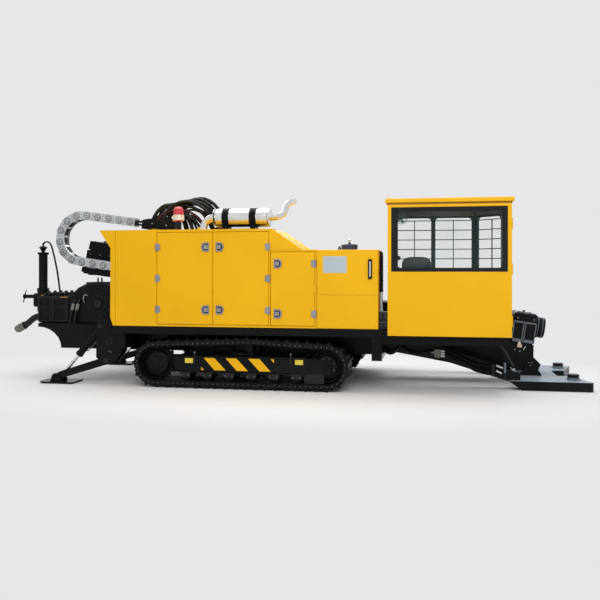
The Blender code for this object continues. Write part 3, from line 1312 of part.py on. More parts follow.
def hose_pack_section():
    """Section across the chain's hoses as (y, outward), a lobe for each hose above and below."""
    room = CHAIN_WIDTH - 2 * CHAIN_PLATE - 0.010
    pitch = room / CHAIN_HOSES
    crown, valley = 0.040, 0.026
    middle = CHAIN_Y - MAST_Y
    above = []
    for hose in range(CHAIN_HOSES):
        y = middle + (hose + 0.5) * pitch - room / 2
        above.append((y - pitch / 2, valley if hose else valley * 0.5))
        above.append((y - pitch / 4, crown))
        above.append((y + pitch / 4, crown))
    above.append((middle + room / 2, valley * 0.5))
    return above + [(y, -outward) for y, outward in above[::-1]]


def make_chain_hoses():
    """Hoses inside the drag chain, with a clamp at each end that sits between its sides."""
    clamp_length, margin = 0.05, 0.02
    steps = 10
    stations = [margin + 0.01, CHAIN_UPPER_RUN]
    stations += [CHAIN_UPPER_RUN + CHAIN_BEND * step / steps for step in range(1, steps + 1)]
    stations.append(CHAIN_LENGTH - margin - 0.01)
    section = hose_pack_section()
    pieces = [strip([chain_ring(distance, section) for distance in stations])]
    reach = CHAIN_WIDTH / 2 - CHAIN_PLATE - SEAT_GAP
    middle = CHAIN_Y - MAST_Y
    height = 0.041
    for start in (margin, CHAIN_LENGTH - margin - clamp_length):
        outline = [chain_point(start, -height), chain_point(start + clamp_length, -height),
                   chain_point(start + clamp_length, height), chain_point(start, height)]
        pieces.append(plate(outline, middle - reach, middle + reach))
    return fused(*pieces)


def make_mast():
    mast = mast_empty()
    node("mast_beam", make_mast_beam(), BLACK, mast)
    node("vise_front", make_vise_front(), BLACK, mast)
    node("cable_chain", make_cable_chain(), ZINC, mast)
    node("chain_hoses", make_chain_hoses(), RUBBER, mast)
    clamp = axis_empty("vise_axis", (VISE_AXIS_X, 0.0, DRILL_AXIS), mast)
    node("vise_rear", make_vise_rear(), BLACK, clamp)
    carriage = axis_empty("carriage_slide", (0.0, 0.0, 0.0), mast)
    node("power_head", make_carriage(), BLACK, carriage)
    spindle = axis_empty("spindle_axis", (GEARBOX_FRONT + PIN_GAP, 0.0, DRILL_AXIS), carriage)
    node("spindle", make_spindle(), STAINLESS, spindle)
    node("chain_arm", make_chain_arm(), BLACK, carriage)
    node("hose_arcs", make_hose_arcs(), RUBBER, carriage)


# Mast tilt rams

def ram_barrel(length, radius, rod_radius, eye_radius, eye_width):
    """Barrel of a ram along +X, open at its mouth, with its foot's eye at the origin."""
    bore = rod_radius + 0.003
    gland = rod_radius + PIN_GAP
    collar = radius * 1.1
    start = eye_radius * 1.6
    floor = start + 0.015
    body = turned([(0.0, length), (collar, length), (collar, length - 0.04), (radius, length - 0.045),
                   (radius, start), (0.0, start)], axis="X")
    half = eye_width / 2 - 0.002
    neck = box((0.0, -half, -eye_radius * 0.7), (start + 0.01, half, eye_radius * 0.7))
    hollow = turned([(0.0, length + 0.1), (gland, length + 0.1), (gland, length - 0.05),
                     (bore, length - 0.055), (bore, floor), (0.0, floor)], axis="X")
    eye = rod((0, -eye_width / 2, 0), (0, eye_width / 2, 0), eye_radius)
    return cut(fused(body, neck, eye), hollow)


def ram_rod(start, length, radius, eye_radius, eye_width):
    """Rod of a ram along +X, from its inner end to the eye at its tip."""
    eye = rod((length, -eye_width / 2, 0), (length, eye_width / 2, 0), eye_radius)
    shank = turned([(0.0, length), (radius, length), (radius, start), (0.0, start)], axis="X")
    return fused(shank, eye)


def ram_lengths(base, eye):
    """Length and pitch about Y that lay +X on the line from base to eye."""
    dx, dz = eye[0] - base[0], eye[1] - base[1]
    return math.hypot(dx, dz), -math.atan2(dz, dx)


def make_tilt_rams():
    """Two rams that lift the mast, each pair joined by a shaft."""
    length, pitch = ram_lengths(RAM_BASE, RAM_EYE)
    base = axis_empty("tilt_ram_axis", (RAM_BASE[0], MAST_Y, RAM_BASE[1]), pitch=pitch)
    shaft = 0.022
    barrels = [shifted(ram_barrel(RAM_BARREL, RAM_RADIUS, RAM_ROD_RADIUS, RAM_EYE_RADIUS, RAM_EYE_WIDTH), y)
               for y in (-RAM_SPREAD, RAM_SPREAD)]
    tie_x = 0.30
    tie = rod((tie_x, -RAM_SPREAD + RAM_RADIUS * 0.8, 0), (tie_x, RAM_SPREAD - RAM_RADIUS * 0.8, 0), shaft)
    node("tilt_barrels", fused(barrels[0], barrels[1], tie), BLACK, base)
    slide = axis_empty("tilt_rod_axis", (0.0, 0.0, 0.0), base)
    start = RAM_EYE_RADIUS * 1.6 + 0.02
    rods = [shifted(ram_rod(start, length, RAM_ROD_RADIUS, 0.04, RAM_EYE_WIDTH - 0.01), y)
            for y in (-RAM_SPREAD, RAM_SPREAD)]
    tie = rod((length, 0.02 - RAM_SPREAD, 0), (length, RAM_SPREAD - 0.02, 0), shaft)
    node("tilt_rods", fused(rods[0], rods[1], tie), STAINLESS, slide)


# Stabilizers

LEG_STROKE = 0.2539


def leg_arm():
    """Forked arm from the chassis to the foot, in world X and Z, on the near side."""
    (px, pz), (fx, fz) = LEG_PIVOT, LEG_FOOT
    lean = math.atan2(fz - pz, fx - px)
    across = Vector((-math.sin(lean), math.cos(lean))) * (LEG_DEPTH / 2)
    along = Vector((math.cos(lean), math.sin(lean)))
    pivot, foot = Vector(LEG_PIVOT), Vector(LEG_FOOT)
    outline = [pivot + across, foot + across * 0.75 - along * 0.06, foot + along * 0.045,
               foot - across * 0.6 + along * 0.01, foot - across - along * 0.06, pivot - across]
    half = LEG_WIDTH / 2
    pieces = []
    for y in (-LEG_Y - half, -LEG_Y + half - LEG_PLATE):
        pieces.append(plate([tuple(point) for point in outline], y, y + LEG_PLATE))
    pieces.append(rod((px, -LEG_Y - half, pz), (px, -LEG_Y + half, pz), LEG_DEPTH / 2))
    pieces.append(rod((fx, -LEG_Y - half, fz), (fx, -LEG_Y + half, fz), 0.03))
    brace = foot.lerp(pivot, 0.72)
    reach = half - 0.001
    pieces.append(rod((brace.x, -LEG_Y - reach, brace.y), (brace.x, -LEG_Y + reach, brace.y), 0.02))
    eye_x, eye_z = LEG_EYE
    eye_half = 0.025 + SWING_GAP
    for side in (-1, 1):
        pieces.append(rod((eye_x, -LEG_Y + side * (half - 0.001), eye_z),
                          (eye_x, -LEG_Y + side * eye_half, eye_z), 0.02))
    return fused(*pieces)


def leg_pad():
    """Ground pad with two ears, pinned under the arm's end."""
    (fx, fz) = LEG_FOOT
    low = PAD_UNDERSIDE
    high = low + PAD_THICKNESS
    back, front = fx - PAD_REACH[0], fx + PAD_REACH[1]
    near, far = -LEG_Y - PAD_HALF_WIDTH, -LEG_Y + PAD_HALF_WIDTH
    cut_corner = 0.06
    outline = [(back, near + cut_corner), (back + cut_corner, near), (front, near), (front, far),
               (back + cut_corner, far), (back, far - cut_corner)]
    pieces = [plate(outline, low, high, axis="Z")]
    start = LEG_WIDTH / 2 + PIN_GAP
    ear = [(fx - 0.085, high - 0.005), (fx - 0.05, fz + 0.03), (fx - 0.02, fz + 0.05),
           (fx + 0.02, fz + 0.05), (fx + 0.05, fz + 0.03), (fx + 0.085, high - 0.005)]
    for y in (-LEG_Y - start - 0.02, -LEG_Y + start):
        pieces.append(plate(ear, y, y + 0.02))
    return fused(*pieces)


def to_frame(piece, place):
    """Move a solid modelled in world space into the frame of an empty at that place."""
    piece.data.transform(place.inverted())
    return piece


def make_leg(side):
    """One stabilizer: arm, pad, barrel and rod. Side -1 is the near, right one."""
    suffix = "_right" if side < 0 else "_left"

    def handed(piece):
        return piece if side < 0 else mirrored_y(piece)

    pivot = (LEG_PIVOT[0], side * LEG_Y, LEG_PIVOT[1])
    foot = (LEG_FOOT[0], side * LEG_Y, LEG_FOOT[1])
    base = (LEG_RAM_BASE[0], side * LEG_Y, LEG_RAM_BASE[1])
    arm_axis = axis_empty("leg_axis" + suffix, pivot)
    node("leg_arm" + suffix, to_frame(handed(leg_arm()), Matrix.Translation(pivot)), BLACK, arm_axis)
    offset = Vector(foot) - Vector(pivot)
    pad_axis = axis_empty("pad_axis" + suffix, offset, arm_axis)
    node("leg_pad" + suffix, to_frame(handed(leg_pad()), Matrix.Translation(foot)), BLACK, pad_axis)
    length, pitch = ram_lengths(LEG_RAM_BASE, LEG_EYE)
    barrel_axis = axis_empty("leg_ram_axis" + suffix, base, pitch=pitch)
    barrel = ram_barrel(LEG_BARREL, LEG_RAM_RADIUS, LEG_ROD_RADIUS, 0.04, 2 * LEG_RAM_RADIUS)
    hub = rod((0, -LEG_WIDTH / 2, 0), (0, LEG_WIDTH / 2, 0), 0.03)
    node("leg_barrel" + suffix, fused(barrel, hub), BLACK, barrel_axis)
    slide = axis_empty("leg_rod_axis" + suffix, (0.0, 0.0, 0.0), barrel_axis)
    start = 0.085 + LEG_STROKE
    node("leg_rod" + suffix, ram_rod(start, length, LEG_ROD_RADIUS, 0.035, 0.05), STAINLESS, slide)


# Hoses to the anchor plate's drives

# Height at the junction block and height at the clamps
FRONT_HOSES = ((0.497, 0.300), (0.472, 0.265), (0.447, 0.230), (0.422, 0.195))
FRONT_HOSE_Y = -0.555
FRONT_HOSE_RADIUS = 0.014
JUNCTION = ((2.093, 0.399), (2.185, 0.518))
JUNCTION_NEAR_Y = -0.60
CLAMP_PLACES = (2.854, 3.003)


def make_front_hoses():
    """Junction block, four sagging hoses and the two clamps that hold them on the sloping beam."""
    (low_x, low_z), (high_x, high_z) = JUNCTION
    seat = SLOPING_BEAM_Y[0] - SEAT_GAP
    pieces = [rounded(box((low_x, JUNCTION_NEAR_Y, low_z), (high_x, seat, high_z)), 0.006)]
    first, last = CLAMP_PLACES
    for place, (start_z, end_z) in enumerate(FRONT_HOSES):
        sag = start_z * 0.35 + end_z * 0.65 - 0.035
        y = FRONT_HOSE_Y + (place % 2 - 0.5) * 0.012
        route = [(high_x - 0.02, y, start_z), (high_x + 0.05, y, start_z),
                 (high_x + 0.20, y, start_z - 0.05), (2.62, y, sag), (first - 0.06, y, end_z),
                 (first, y, end_z), (last, y, end_z - 0.035)]
        pieces.append(tube(smooth_route(route, 2), FRONT_HOSE_RADIUS, 1))
    half = 0.018
    for x, low, high in ((first, 0.17, 0.33), (last, 0.13, 0.30)):
        pieces.append(box((x - half, JUNCTION_NEAR_Y + 0.01, low), (x + half, seat, high)))
    return fused(*pieces)


# Mud pump

PUMP_Y = -0.40
TRAY_TOP = 0.80


def make_pump():
    floor = TRAY_TOP + SEAT_GAP
    arc = [(-3.53 + 0.36 * math.sin(angle), 0.449 + 0.30 * math.cos(angle))
           for angle in (step * math.pi / 2 / 6 for step in range(7))]
    side = [(DECK_REAR_X - SEAT_GAP, TRAY_TOP), (-3.53, TRAY_TOP), *arc, (DECK_REAR_X - SEAT_GAP, 0.449)]
    pieces = [plate(side, y, y + 0.02) for y in (-0.75, -0.07)]
    pieces.append(box((-3.53, -0.74, TRAY_TOP - 0.03), (DECK_REAR_X - SEAT_GAP, -0.06, TRAY_TOP)))
    node("pump_tray", fused(*pieces), BLACK)

    crank = [(-2.25, floor), (-2.25, 1.20), (-2.36, 1.33), (-2.50, 1.37), (-2.82, 1.37), (-2.95, 1.31),
             (-3.10, 1.17), (-3.10, floor)]
    body = rounded(plate(crank, PUMP_Y - 0.29, PUMP_Y + 0.29), 0.025)
    cover = rod((-2.62, PUMP_Y - 0.31, 1.08), (-2.62, PUMP_Y + 0.31, 1.08), 0.20, sides=28)
    hatch = box((-2.86, PUMP_Y - 0.20, 1.36), (-2.48, PUMP_Y + 0.20, 1.39))
    stud_y = PUMP_Y - 0.05
    studs = [rod((x, stud_y, 1.38), (x, stud_y, 1.455), 0.012, sides=10) for x in (-2.75, -2.69)]
    node("pump_crankcase", fused(body, cover, hatch, *studs), CAST)

    block = rounded(box((-3.58, PUMP_Y - 0.26, floor), (-3.1003, PUMP_Y + 0.26, 1.19)), 0.015)
    pieces = [block]
    for y in (-0.17, 0.0, 0.17):
        for x in (-3.46, -3.28):
            pieces.append(rod((x, PUMP_Y + y, 1.18), (x, PUMP_Y + y, 1.235), 0.055, sides=12))
    pieces.append(rounded(box((-3.765, PUMP_Y - 0.10, 1.02), (-3.56, PUMP_Y + 0.10, 1.22)), 0.02))
    pieces.append(rod((-3.652, PUMP_Y, 1.04), (-3.652, PUMP_Y, 0.95), 0.085))
    pieces.append(rod((-3.652, PUMP_Y, 1.21), (-3.652, PUMP_Y, 1.2497), 0.085))
    node("pump_fluid_end", fused(*pieces), CAST)

    damper = [(0.0, 0.724), (0.012, 0.72), (0.014, 0.675), (0.05, 0.665), (0.052, 0.64), (0.022, 0.59),
              (0.03, 0.582), (0.082, 0.58), (0.082, 0.55), (0.064, 0.545), (0.064, 0.055), (0.075, 0.05),
              (0.088, 0.045), (0.088, 0.0), (0.0, 0.0)]
    damper_x, damper_z = -3.652, 1.25
    hose = smooth_route([(damper_x, PUMP_Y, 1.945), (damper_x + 0.02, PUMP_Y, 1.975), (-3.58, PUMP_Y, 1.985),
                         (-3.515, PUMP_Y, 1.92), (-3.426, PUMP_Y, 1.556), (-3.386, PUMP_Y, 1.28),
                         (-3.37, PUMP_Y, 1.22)], 2)
    hose.append(Vector((-3.37, PUMP_Y, 1.19 + SEAT_GAP)))
    can = turned(damper, centre=(damper_x, PUMP_Y, damper_z))
    node("pump_damper", fused(can, tube(hose, 0.013, 1)), BLACK)

    stem = rod((-3.7653, PUMP_Y, 1.17), (-3.95, PUMP_Y, 1.17), 0.028)
    bar = rod((-3.975, PUMP_Y, 1.08), (-3.930, PUMP_Y, 1.26), 0.008, sides=8)
    hub = rod((-3.94, PUMP_Y, 1.17), (-3.965, PUMP_Y, 1.17), 0.034, sides=12)
    node("pump_valve", fused(stem, bar, hub), BLACK)

    spool = rod((-3.652, PUMP_Y, 0.9497), (-3.652, PUMP_Y, 0.86), 0.06)
    route = smooth_route([(-3.60, PUMP_Y, 0.86), (-3.70, PUMP_Y, 0.875), (-3.80, PUMP_Y, 0.845),
                          (-3.89, PUMP_Y, 0.775), (-3.96, PUMP_Y, 0.73)], 4)
    hose = tube(route, 0.05)
    union = rod((-3.94, PUMP_Y, 0.742), (-4.085, PUMP_Y, 0.672), 0.058, 0.052, sides=12)
    node("pump_discharge", fused(spool, hose, union), RUBBER)


def main():
    global PARTS, CUTTERS
    clear_scene()
    PARTS = new_collection("horizontal_directional_drill")
    CUTTERS = new_collection("cutters")
    make_crawlers()
    node("chassis_frame", make_chassis(), BLACK)
    node("anchor_plate", make_anchor_plate(), BLACK)
    node("front_hoses", make_front_hoses(), RUBBER)
    make_hood()
    make_tank()
    make_exhaust()
    make_beacon()
    make_cab()
    make_mast()
    make_tilt_rams()
    for side in (-1, 1):
        make_leg(side)
    make_pump()


main()
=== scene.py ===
"""Horizontal directional drill: materials, fine parts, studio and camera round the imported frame.

Metres, +Z up, +X towards the drilling end, the camera on the -Y side. Each Kit gathers one piece, and the
steps at the end finish them. Coordinates are places on the CAD's solids.
"""

import itertools
import math

import bmesh
import bpy
from mathutils import Matrix, Vector


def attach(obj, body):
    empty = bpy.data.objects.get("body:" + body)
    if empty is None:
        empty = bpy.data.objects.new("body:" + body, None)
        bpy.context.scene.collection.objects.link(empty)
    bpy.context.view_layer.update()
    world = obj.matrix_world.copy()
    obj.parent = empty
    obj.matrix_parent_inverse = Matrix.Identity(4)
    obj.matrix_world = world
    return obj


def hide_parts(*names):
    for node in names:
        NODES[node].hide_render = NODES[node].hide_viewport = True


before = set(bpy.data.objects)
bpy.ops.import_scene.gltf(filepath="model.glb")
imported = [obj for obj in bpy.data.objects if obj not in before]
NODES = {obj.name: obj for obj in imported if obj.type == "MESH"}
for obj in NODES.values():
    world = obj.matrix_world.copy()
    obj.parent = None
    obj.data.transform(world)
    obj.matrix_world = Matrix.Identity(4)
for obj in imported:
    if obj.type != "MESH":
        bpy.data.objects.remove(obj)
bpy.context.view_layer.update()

# Camera, worked out from the photograph's vanishing lines
CAMERA_PLACE = (2.04, -10.3155, 1.566)
CAMERA_YAW = math.radians(10.23)
CAMERA_LENS = 43.2
CAMERA_SHIFT = -0.05

# Backdrop, floor and light
BACKDROP = (0.79, 0.8, 0.815)
AMBIENT = 0.62
FLOOR_Z = -0.0015
FLOOR_SIZE = 60.0
FLOOR_COLOUR = (0.8, 0.8, 0.81)
FLOOR_SQUEEZE = (0.2, 0.36, 0.0)      # makes the pale patch an oval
FLOOR_FADE = (0.75, 1.25)
LIGHTS = (      # name, place, target, size, power
    ("key", (2.5, -9.0, 6.5), (0.0, 0.0, 1.0), (7.0, 4.0), 420.0),
    ("top", (0.0, 0.5, 7.0), (0.0, 0.0, 0.0), (9.0, 5.0), 320.0),
    ("back", (-3.0, 8.0, 5.0), (0.0, 0.0, 1.0), (6.0, 3.0), 220.0),
)

# Paints and bare metals, as linear colours
YELLOW = (0.9, 0.475, 0.002)
BLACK_PAINT = (0.004, 0.0055, 0.006)
DUST = (0.2, 0.17, 0.13)


# Node materials

def new_material(name):
    material = bpy.data.materials.new(name)
    material.use_nodes = True
    return material, material.node_tree, material.node_tree.nodes["Principled BSDF"]


def add_node(tree, kind, inputs=None, **settings):
    made = tree.nodes.new(kind)
    for key, value in settings.items():
        setattr(made, key, value)
    give(made, inputs or {})
    return made


def give(node, inputs):
    """Set each named input to a number or a colour, or link it to an output."""
    for name, value in inputs.items():
        if isinstance(value, bpy.types.NodeSocket):
            node.id_data.links.new(value, node.inputs[name])
        else:
            colour = isinstance(value, tuple) and len(value) == 3 and node.inputs[name].type == "RGBA"
            node.inputs[name].default_value = (*value, 1.0) if colour else value


def coordinates(tree, kind="Object"):
    """Object space is world space at rest."""
    return add_node(tree, "ShaderNodeTexCoord").outputs[kind]


def upward_part(tree, kind):
    return add_node(tree, "ShaderNodeSeparateXYZ", {"Vector": coordinates(tree, kind)}).outputs["Z"]


def noise(tree, scale, detail=4.0, roughness=0.55):
    inputs = {"Vector": coordinates(tree), "Scale": scale, "Detail": detail, "Roughness": roughness}
    return add_node(tree, "ShaderNodeTexNoise", inputs).outputs["Fac"]


def spread(tree, value, low, high, to_low=0.0, to_high=1.0):
    """Map part of a value's range on another range."""
    inputs = {"Value": value, "From Min": low, "From Max": high, "To Min": to_low, "To Max": to_high}
    return add_node(tree, "ShaderNodeMapRange", inputs).outputs["Result"]


def blended(tree, factor, first, second):
    """Mix two colours; each is a colour or an output."""
    mix = add_node(tree, "ShaderNodeMix", data_type="RGBA")
    give(mix, {"Factor": factor})
    for socket, colour in ((mix.inputs["A"], first), (mix.inputs["B"], second)):
        if isinstance(colour, tuple):
            socket.default_value = (*colour, 1.0)
        else:
            tree.links.new(colour, socket)
    return mix.outputs["Result"]


def product(tree, first, second):
    return add_node(tree, "ShaderNodeMath", {0: first, 1: second}, operation="MULTIPLY").outputs[0]


def bumped(tree, shader, height, strength, distance):
    bump = add_node(tree, "ShaderNodeBump", {"Strength": strength, "Distance": distance, "Height": height})
    give(shader, {"Normal": bump.outputs["Normal"]})


def uneven_gloss(tree, scale, detail, low, high):
    return spread(tree, noise(tree, scale, detail), 0.3, 0.7, low, high)


def painted(name, colour, roughness=0.35, grime=0.25, coat=0.15, grime_top=1.0, sheen=0.5):
    """Sprayed paint: orange peel, dust that gathers low down and faint uneven gloss."""
    material, tree, shader = new_material(name)
    patches = spread(tree, noise(tree, 2.2, 6.0), 0.35, 0.75)
    low = spread(tree, upward_part(tree, "Object"), 0.05, grime_top, 1.0, 0.0)
    dirt = product(tree, product(tree, patches, low), grime)
    shade = tuple(part * 0.9 for part in colour)
    mottled = blended(tree, spread(tree, noise(tree, 0.9, 3.0), 0.3, 0.7), colour, shade)
    give(shader, {"Base Color": blended(tree, dirt, mottled, DUST),
                  "Roughness": uneven_gloss(tree, 7.0, 5.0, roughness - 0.05, roughness + 0.08),
                  "Specular IOR Level": sheen, "Coat Weight": coat, "Coat Roughness": 0.18})
    bumped(tree, shader, noise(tree, 420.0, 2.0), 0.12, 0.0006)
    return material


def sky_topped(name, colour, top):
    """Black paint whose upward faces are painted pale blue-grey, a painted reflection of the sky."""
    material = painted(name, colour, 0.3, 0.04, 0.0, 1.6, sheen=0.1)
    tree = material.node_tree
    shader = tree.nodes["Principled BSDF"]
    # mask of the upward faces, where the sky's reflection is painted
    facing = spread(tree, upward_part(tree, "Normal"), 0.9, 0.97)
    upward = product(tree, facing, spread(tree, noise(tree, 3.0), 0.2, 0.5, 0.8, 1.0))
    paint = shader.inputs["Base Color"].links[0].from_socket
    give(shader, {"Base Color": blended(tree, upward, paint, top)})
    return material


def bare_metal(name, colour, roughness, grain=160.0, metallic=1.0, dull=0.5):
    """Bare or plated metal with fine scratches and duller patches."""
    material, tree, shader = new_material(name)
    dark = tuple(part * dull for part in colour)
    patches = spread(tree, noise(tree, 6.0, 8.0, 0.65), 0.42, 0.72)
    give(shader, {"Base Color": blended(tree, patches, colour, dark), "Metallic": metallic,
                  "Roughness": uneven_gloss(tree, 24.0, 4.0, roughness - 0.06, roughness + 0.1)})
    bumped(tree, shader, noise(tree, grain, 3.0), 0.15, 0.0005)
    return material


def rough_cast(name, colour, roughness=0.6):
    """Sand-cast iron under thin paint."""
    material, tree, shader = new_material(name)
    pale = tuple(part * 2.4 for part in colour)
    patches = spread(tree, noise(tree, 9.0, 9.0, 0.7), 0.48, 0.75)
    give(shader, {"Base Color": blended(tree, patches, colour, pale), "Roughness": roughness, "Metallic": 0.2,
                  "Specular IOR Level": 0.12})
    bumped(tree, shader, noise(tree, 130.0, 5.0), 0.35, 0.0015)
    return material


def rubbery(name, colour, roughness=0.6):
    """Rubber or soft plastic with a bloom of dust."""
    material, tree, shader = new_material(name)
    pale = tuple(part + 0.004 for part in colour)
    patches = spread(tree, noise(tree, 5.0, 7.0), 0.45, 0.8)
    give(shader, {"Base Color": blended(tree, patches, colour, pale), "Specular IOR Level": 0.28,
                  "Roughness": uneven_gloss(tree, 30.0, 3.0, roughness - 0.08, roughness + 0.1)})
    bumped(tree, shader, noise(tree, 260.0, 3.0), 0.2, 0.0006)
    return material


def clear_glass(name, tint, haze):
    """Thin pane with faint smears: mostly see-through, a little reflecting."""
    material, tree, shader = new_material(name)
    give(shader, {"Base Color": tint, "IOR": 1.45,
                  "Roughness": spread(tree, noise(tree, 3.0, 4.0), 0.4, 0.8, 0.02, 0.08),
                  "Alpha": spread(tree, noise(tree, 1.6, 5.0), 0.45, 0.85, haze, haze + 0.05)})
    return material


FINISHES = {      # material and export slot
    "yellow": (painted("yellow_paint", YELLOW, 0.46, 0.1, 0.0, sheen=0.2), "yellow_paint"),
    "black": (painted("black_paint", BLACK_PAINT, 0.2, 0.04, 0.0, 1.6, sheen=0.09), "black_paint"),
    "cast": (rough_cast("cast_iron", (0.005, 0.006, 0.0065), 0.42), "cast"),
    "track": (rough_cast("track_steel", (0.0055, 0.0065, 0.0075), 0.5), "track_rubber"),
    "rubber": (rubbery("hose_rubber", (0.003, 0.0035, 0.004), 0.3), "hose"),
    "vinyl": (rubbery("seat_vinyl", (0.01, 0.01, 0.011), 0.5), "soot"),
    "zinc": (bare_metal("zinc_plate", (0.56, 0.59, 0.61), 0.38, metallic=0.75, dull=0.72), "zinc"),
    "steel": (bare_metal("polished_steel", (0.78, 0.77, 0.75), 0.18, 90.0, dull=0.85), "stainless"),
    "glass": (clear_glass("window_glass", (0.2, 0.32, 0.34), 0.03), "glass"),
    "red": (painted("beacon_red", (0.6, 0.015, 0.01), 0.2, 0.0, 0.6), "beacon"),
    "navy": (painted("navy_paint", (0.012, 0.022, 0.075), 0.3, 0.1, 0.4), "navy"),
    "gloss": (painted("gloss_black", (0.006, 0.008, 0.009), 0.14, 0.05, 0.0, sheen=0.25), "black_paint"),
    "lining": (painted("cab_lining", (0.01, 0.022, 0.024), 0.5, 0.0, 0.0, sheen=0.2), "soot"),
    "ceiling": (rubbery("cab_ceiling", (0.2, 0.17, 0.12), 0.8), "soot"),
    "maroon": (rubbery("hose_cover", (0.04, 0.01, 0.01), 0.5), "hose"),
    "frost": (painted("grille_grey", (0.16, 0.24, 0.25), 0.4, 0.0, 0.0), "zinc"),
    "seam": (painted("seam_shadow", (0.24, 0.085, 0.008), 0.6, 0.0, 0.0), "yellow_paint"),
    "plate": (painted("plate_blue_grey", (0.45, 0.53, 0.56), 0.35, 0.1, 0.1), "zinc"),
    "white": (painted("sight_white", (0.72, 0.74, 0.74), 0.25, 0.0, 0.5), "zinc"),
    "cream": (painted("cream_plastic", (0.72, 0.62, 0.46), 0.35, 0.0, 0.3), "beacon"),
    "lemon": (painted("tag_yellow", (0.8, 0.62, 0.05), 0.5, 0.1, 0.0), "yellow_paint"),
    # the upward faces of this black paint carry a painted reflection of the sky, in pale blue-grey
    "painted_sky_top": (sky_topped("black_with_painted_sky_top", BLACK_PAINT, (0.3, 0.36, 0.42)), "black_paint"),
    "slate": (painted("slate_paint", (0.15, 0.18, 0.22), 0.35, 0.1, 0.0, sheen=0.3), "black_paint"),
    "latch": (bare_metal("latch_metal", (0.36, 0.35, 0.36), 0.35, metallic=0.8, dull=0.6), "zinc"),
    "khaki": (painted("khaki_paint", (0.2, 0.21, 0.17), 0.5, 0.1, 0.0), "zinc"),
    "ochre": (painted("ochre_paint", (0.35, 0.2, 0.01), 0.5, 0.2, 0.0), "yellow_paint"),
    "dull": (bare_metal("worn_steel", (0.18, 0.19, 0.2), 0.45, dull=0.5), "zinc"),
}

NODE_FINISHES = {      # the panes are glass and all other nodes black
    "yellow": ("hood_shell", "hydraulic_tank", "cab_shell", "cab_roof", "hood_door_1", "hood_door_2",
               "hood_door_3", "cab_door"),
    "track": ("track_right", "track_left"),
    "cast": ("sprocket_right", "sprocket_left", "idler_right", "idler_left", "engine_block",
             "pump_crankcase", "pump_fluid_end"),
    "rubber": ("hose_arcs", "chain_hoses", "front_hoses", "pump_discharge"),
    "zinc": ("cable_chain",),
    # the tops of these nodes carry a painted reflection of the sky
    "painted_sky_top": ("anchor_plate", "vise_front", "vise_rear"),
    "red": ("beacon",),
    "navy": ("tank_filler",),
    "steel": ("muffler", "exhaust_pipe", "exhaust_inlet", "spindle", "tilt_rods", "leg_rod_right",
              "leg_rod_left"),
    "vinyl": ("seat", "console"),
}


# Small solids, gathered into pieces

AXES = {"X": (1, 0, 0), "-X": (-1, 0, 0), "Y": (0, 1, 0), "-Y": (0, -1, 0), "Z": (0, 0, 1)}
FLAT_ORDER = {"X": (2, 0, 1), "Y": (0, 2, 1), "Z": (0, 1, 2)}     # of an outline's numbers, by its normal
KITS = []      # kits begun and not yet finished


def add_object(name, data):
    made = bpy.data.objects.new(name, data)
    bpy.context.scene.collection.objects.link(made)
    return made


def direction(axis):
    """A main axis by its name, or any vector, as a unit vector."""
    return Vector(AXES[axis] if isinstance(axis, str) else axis).normalized()


def circle(count, phase=0.0):
    """Cosines and sines of evenly spaced angles."""
    angles = [math.tau * (step + phase) / count for step in range(count)]
    return [(math.cos(angle), math.sin(angle)) for angle in angles]


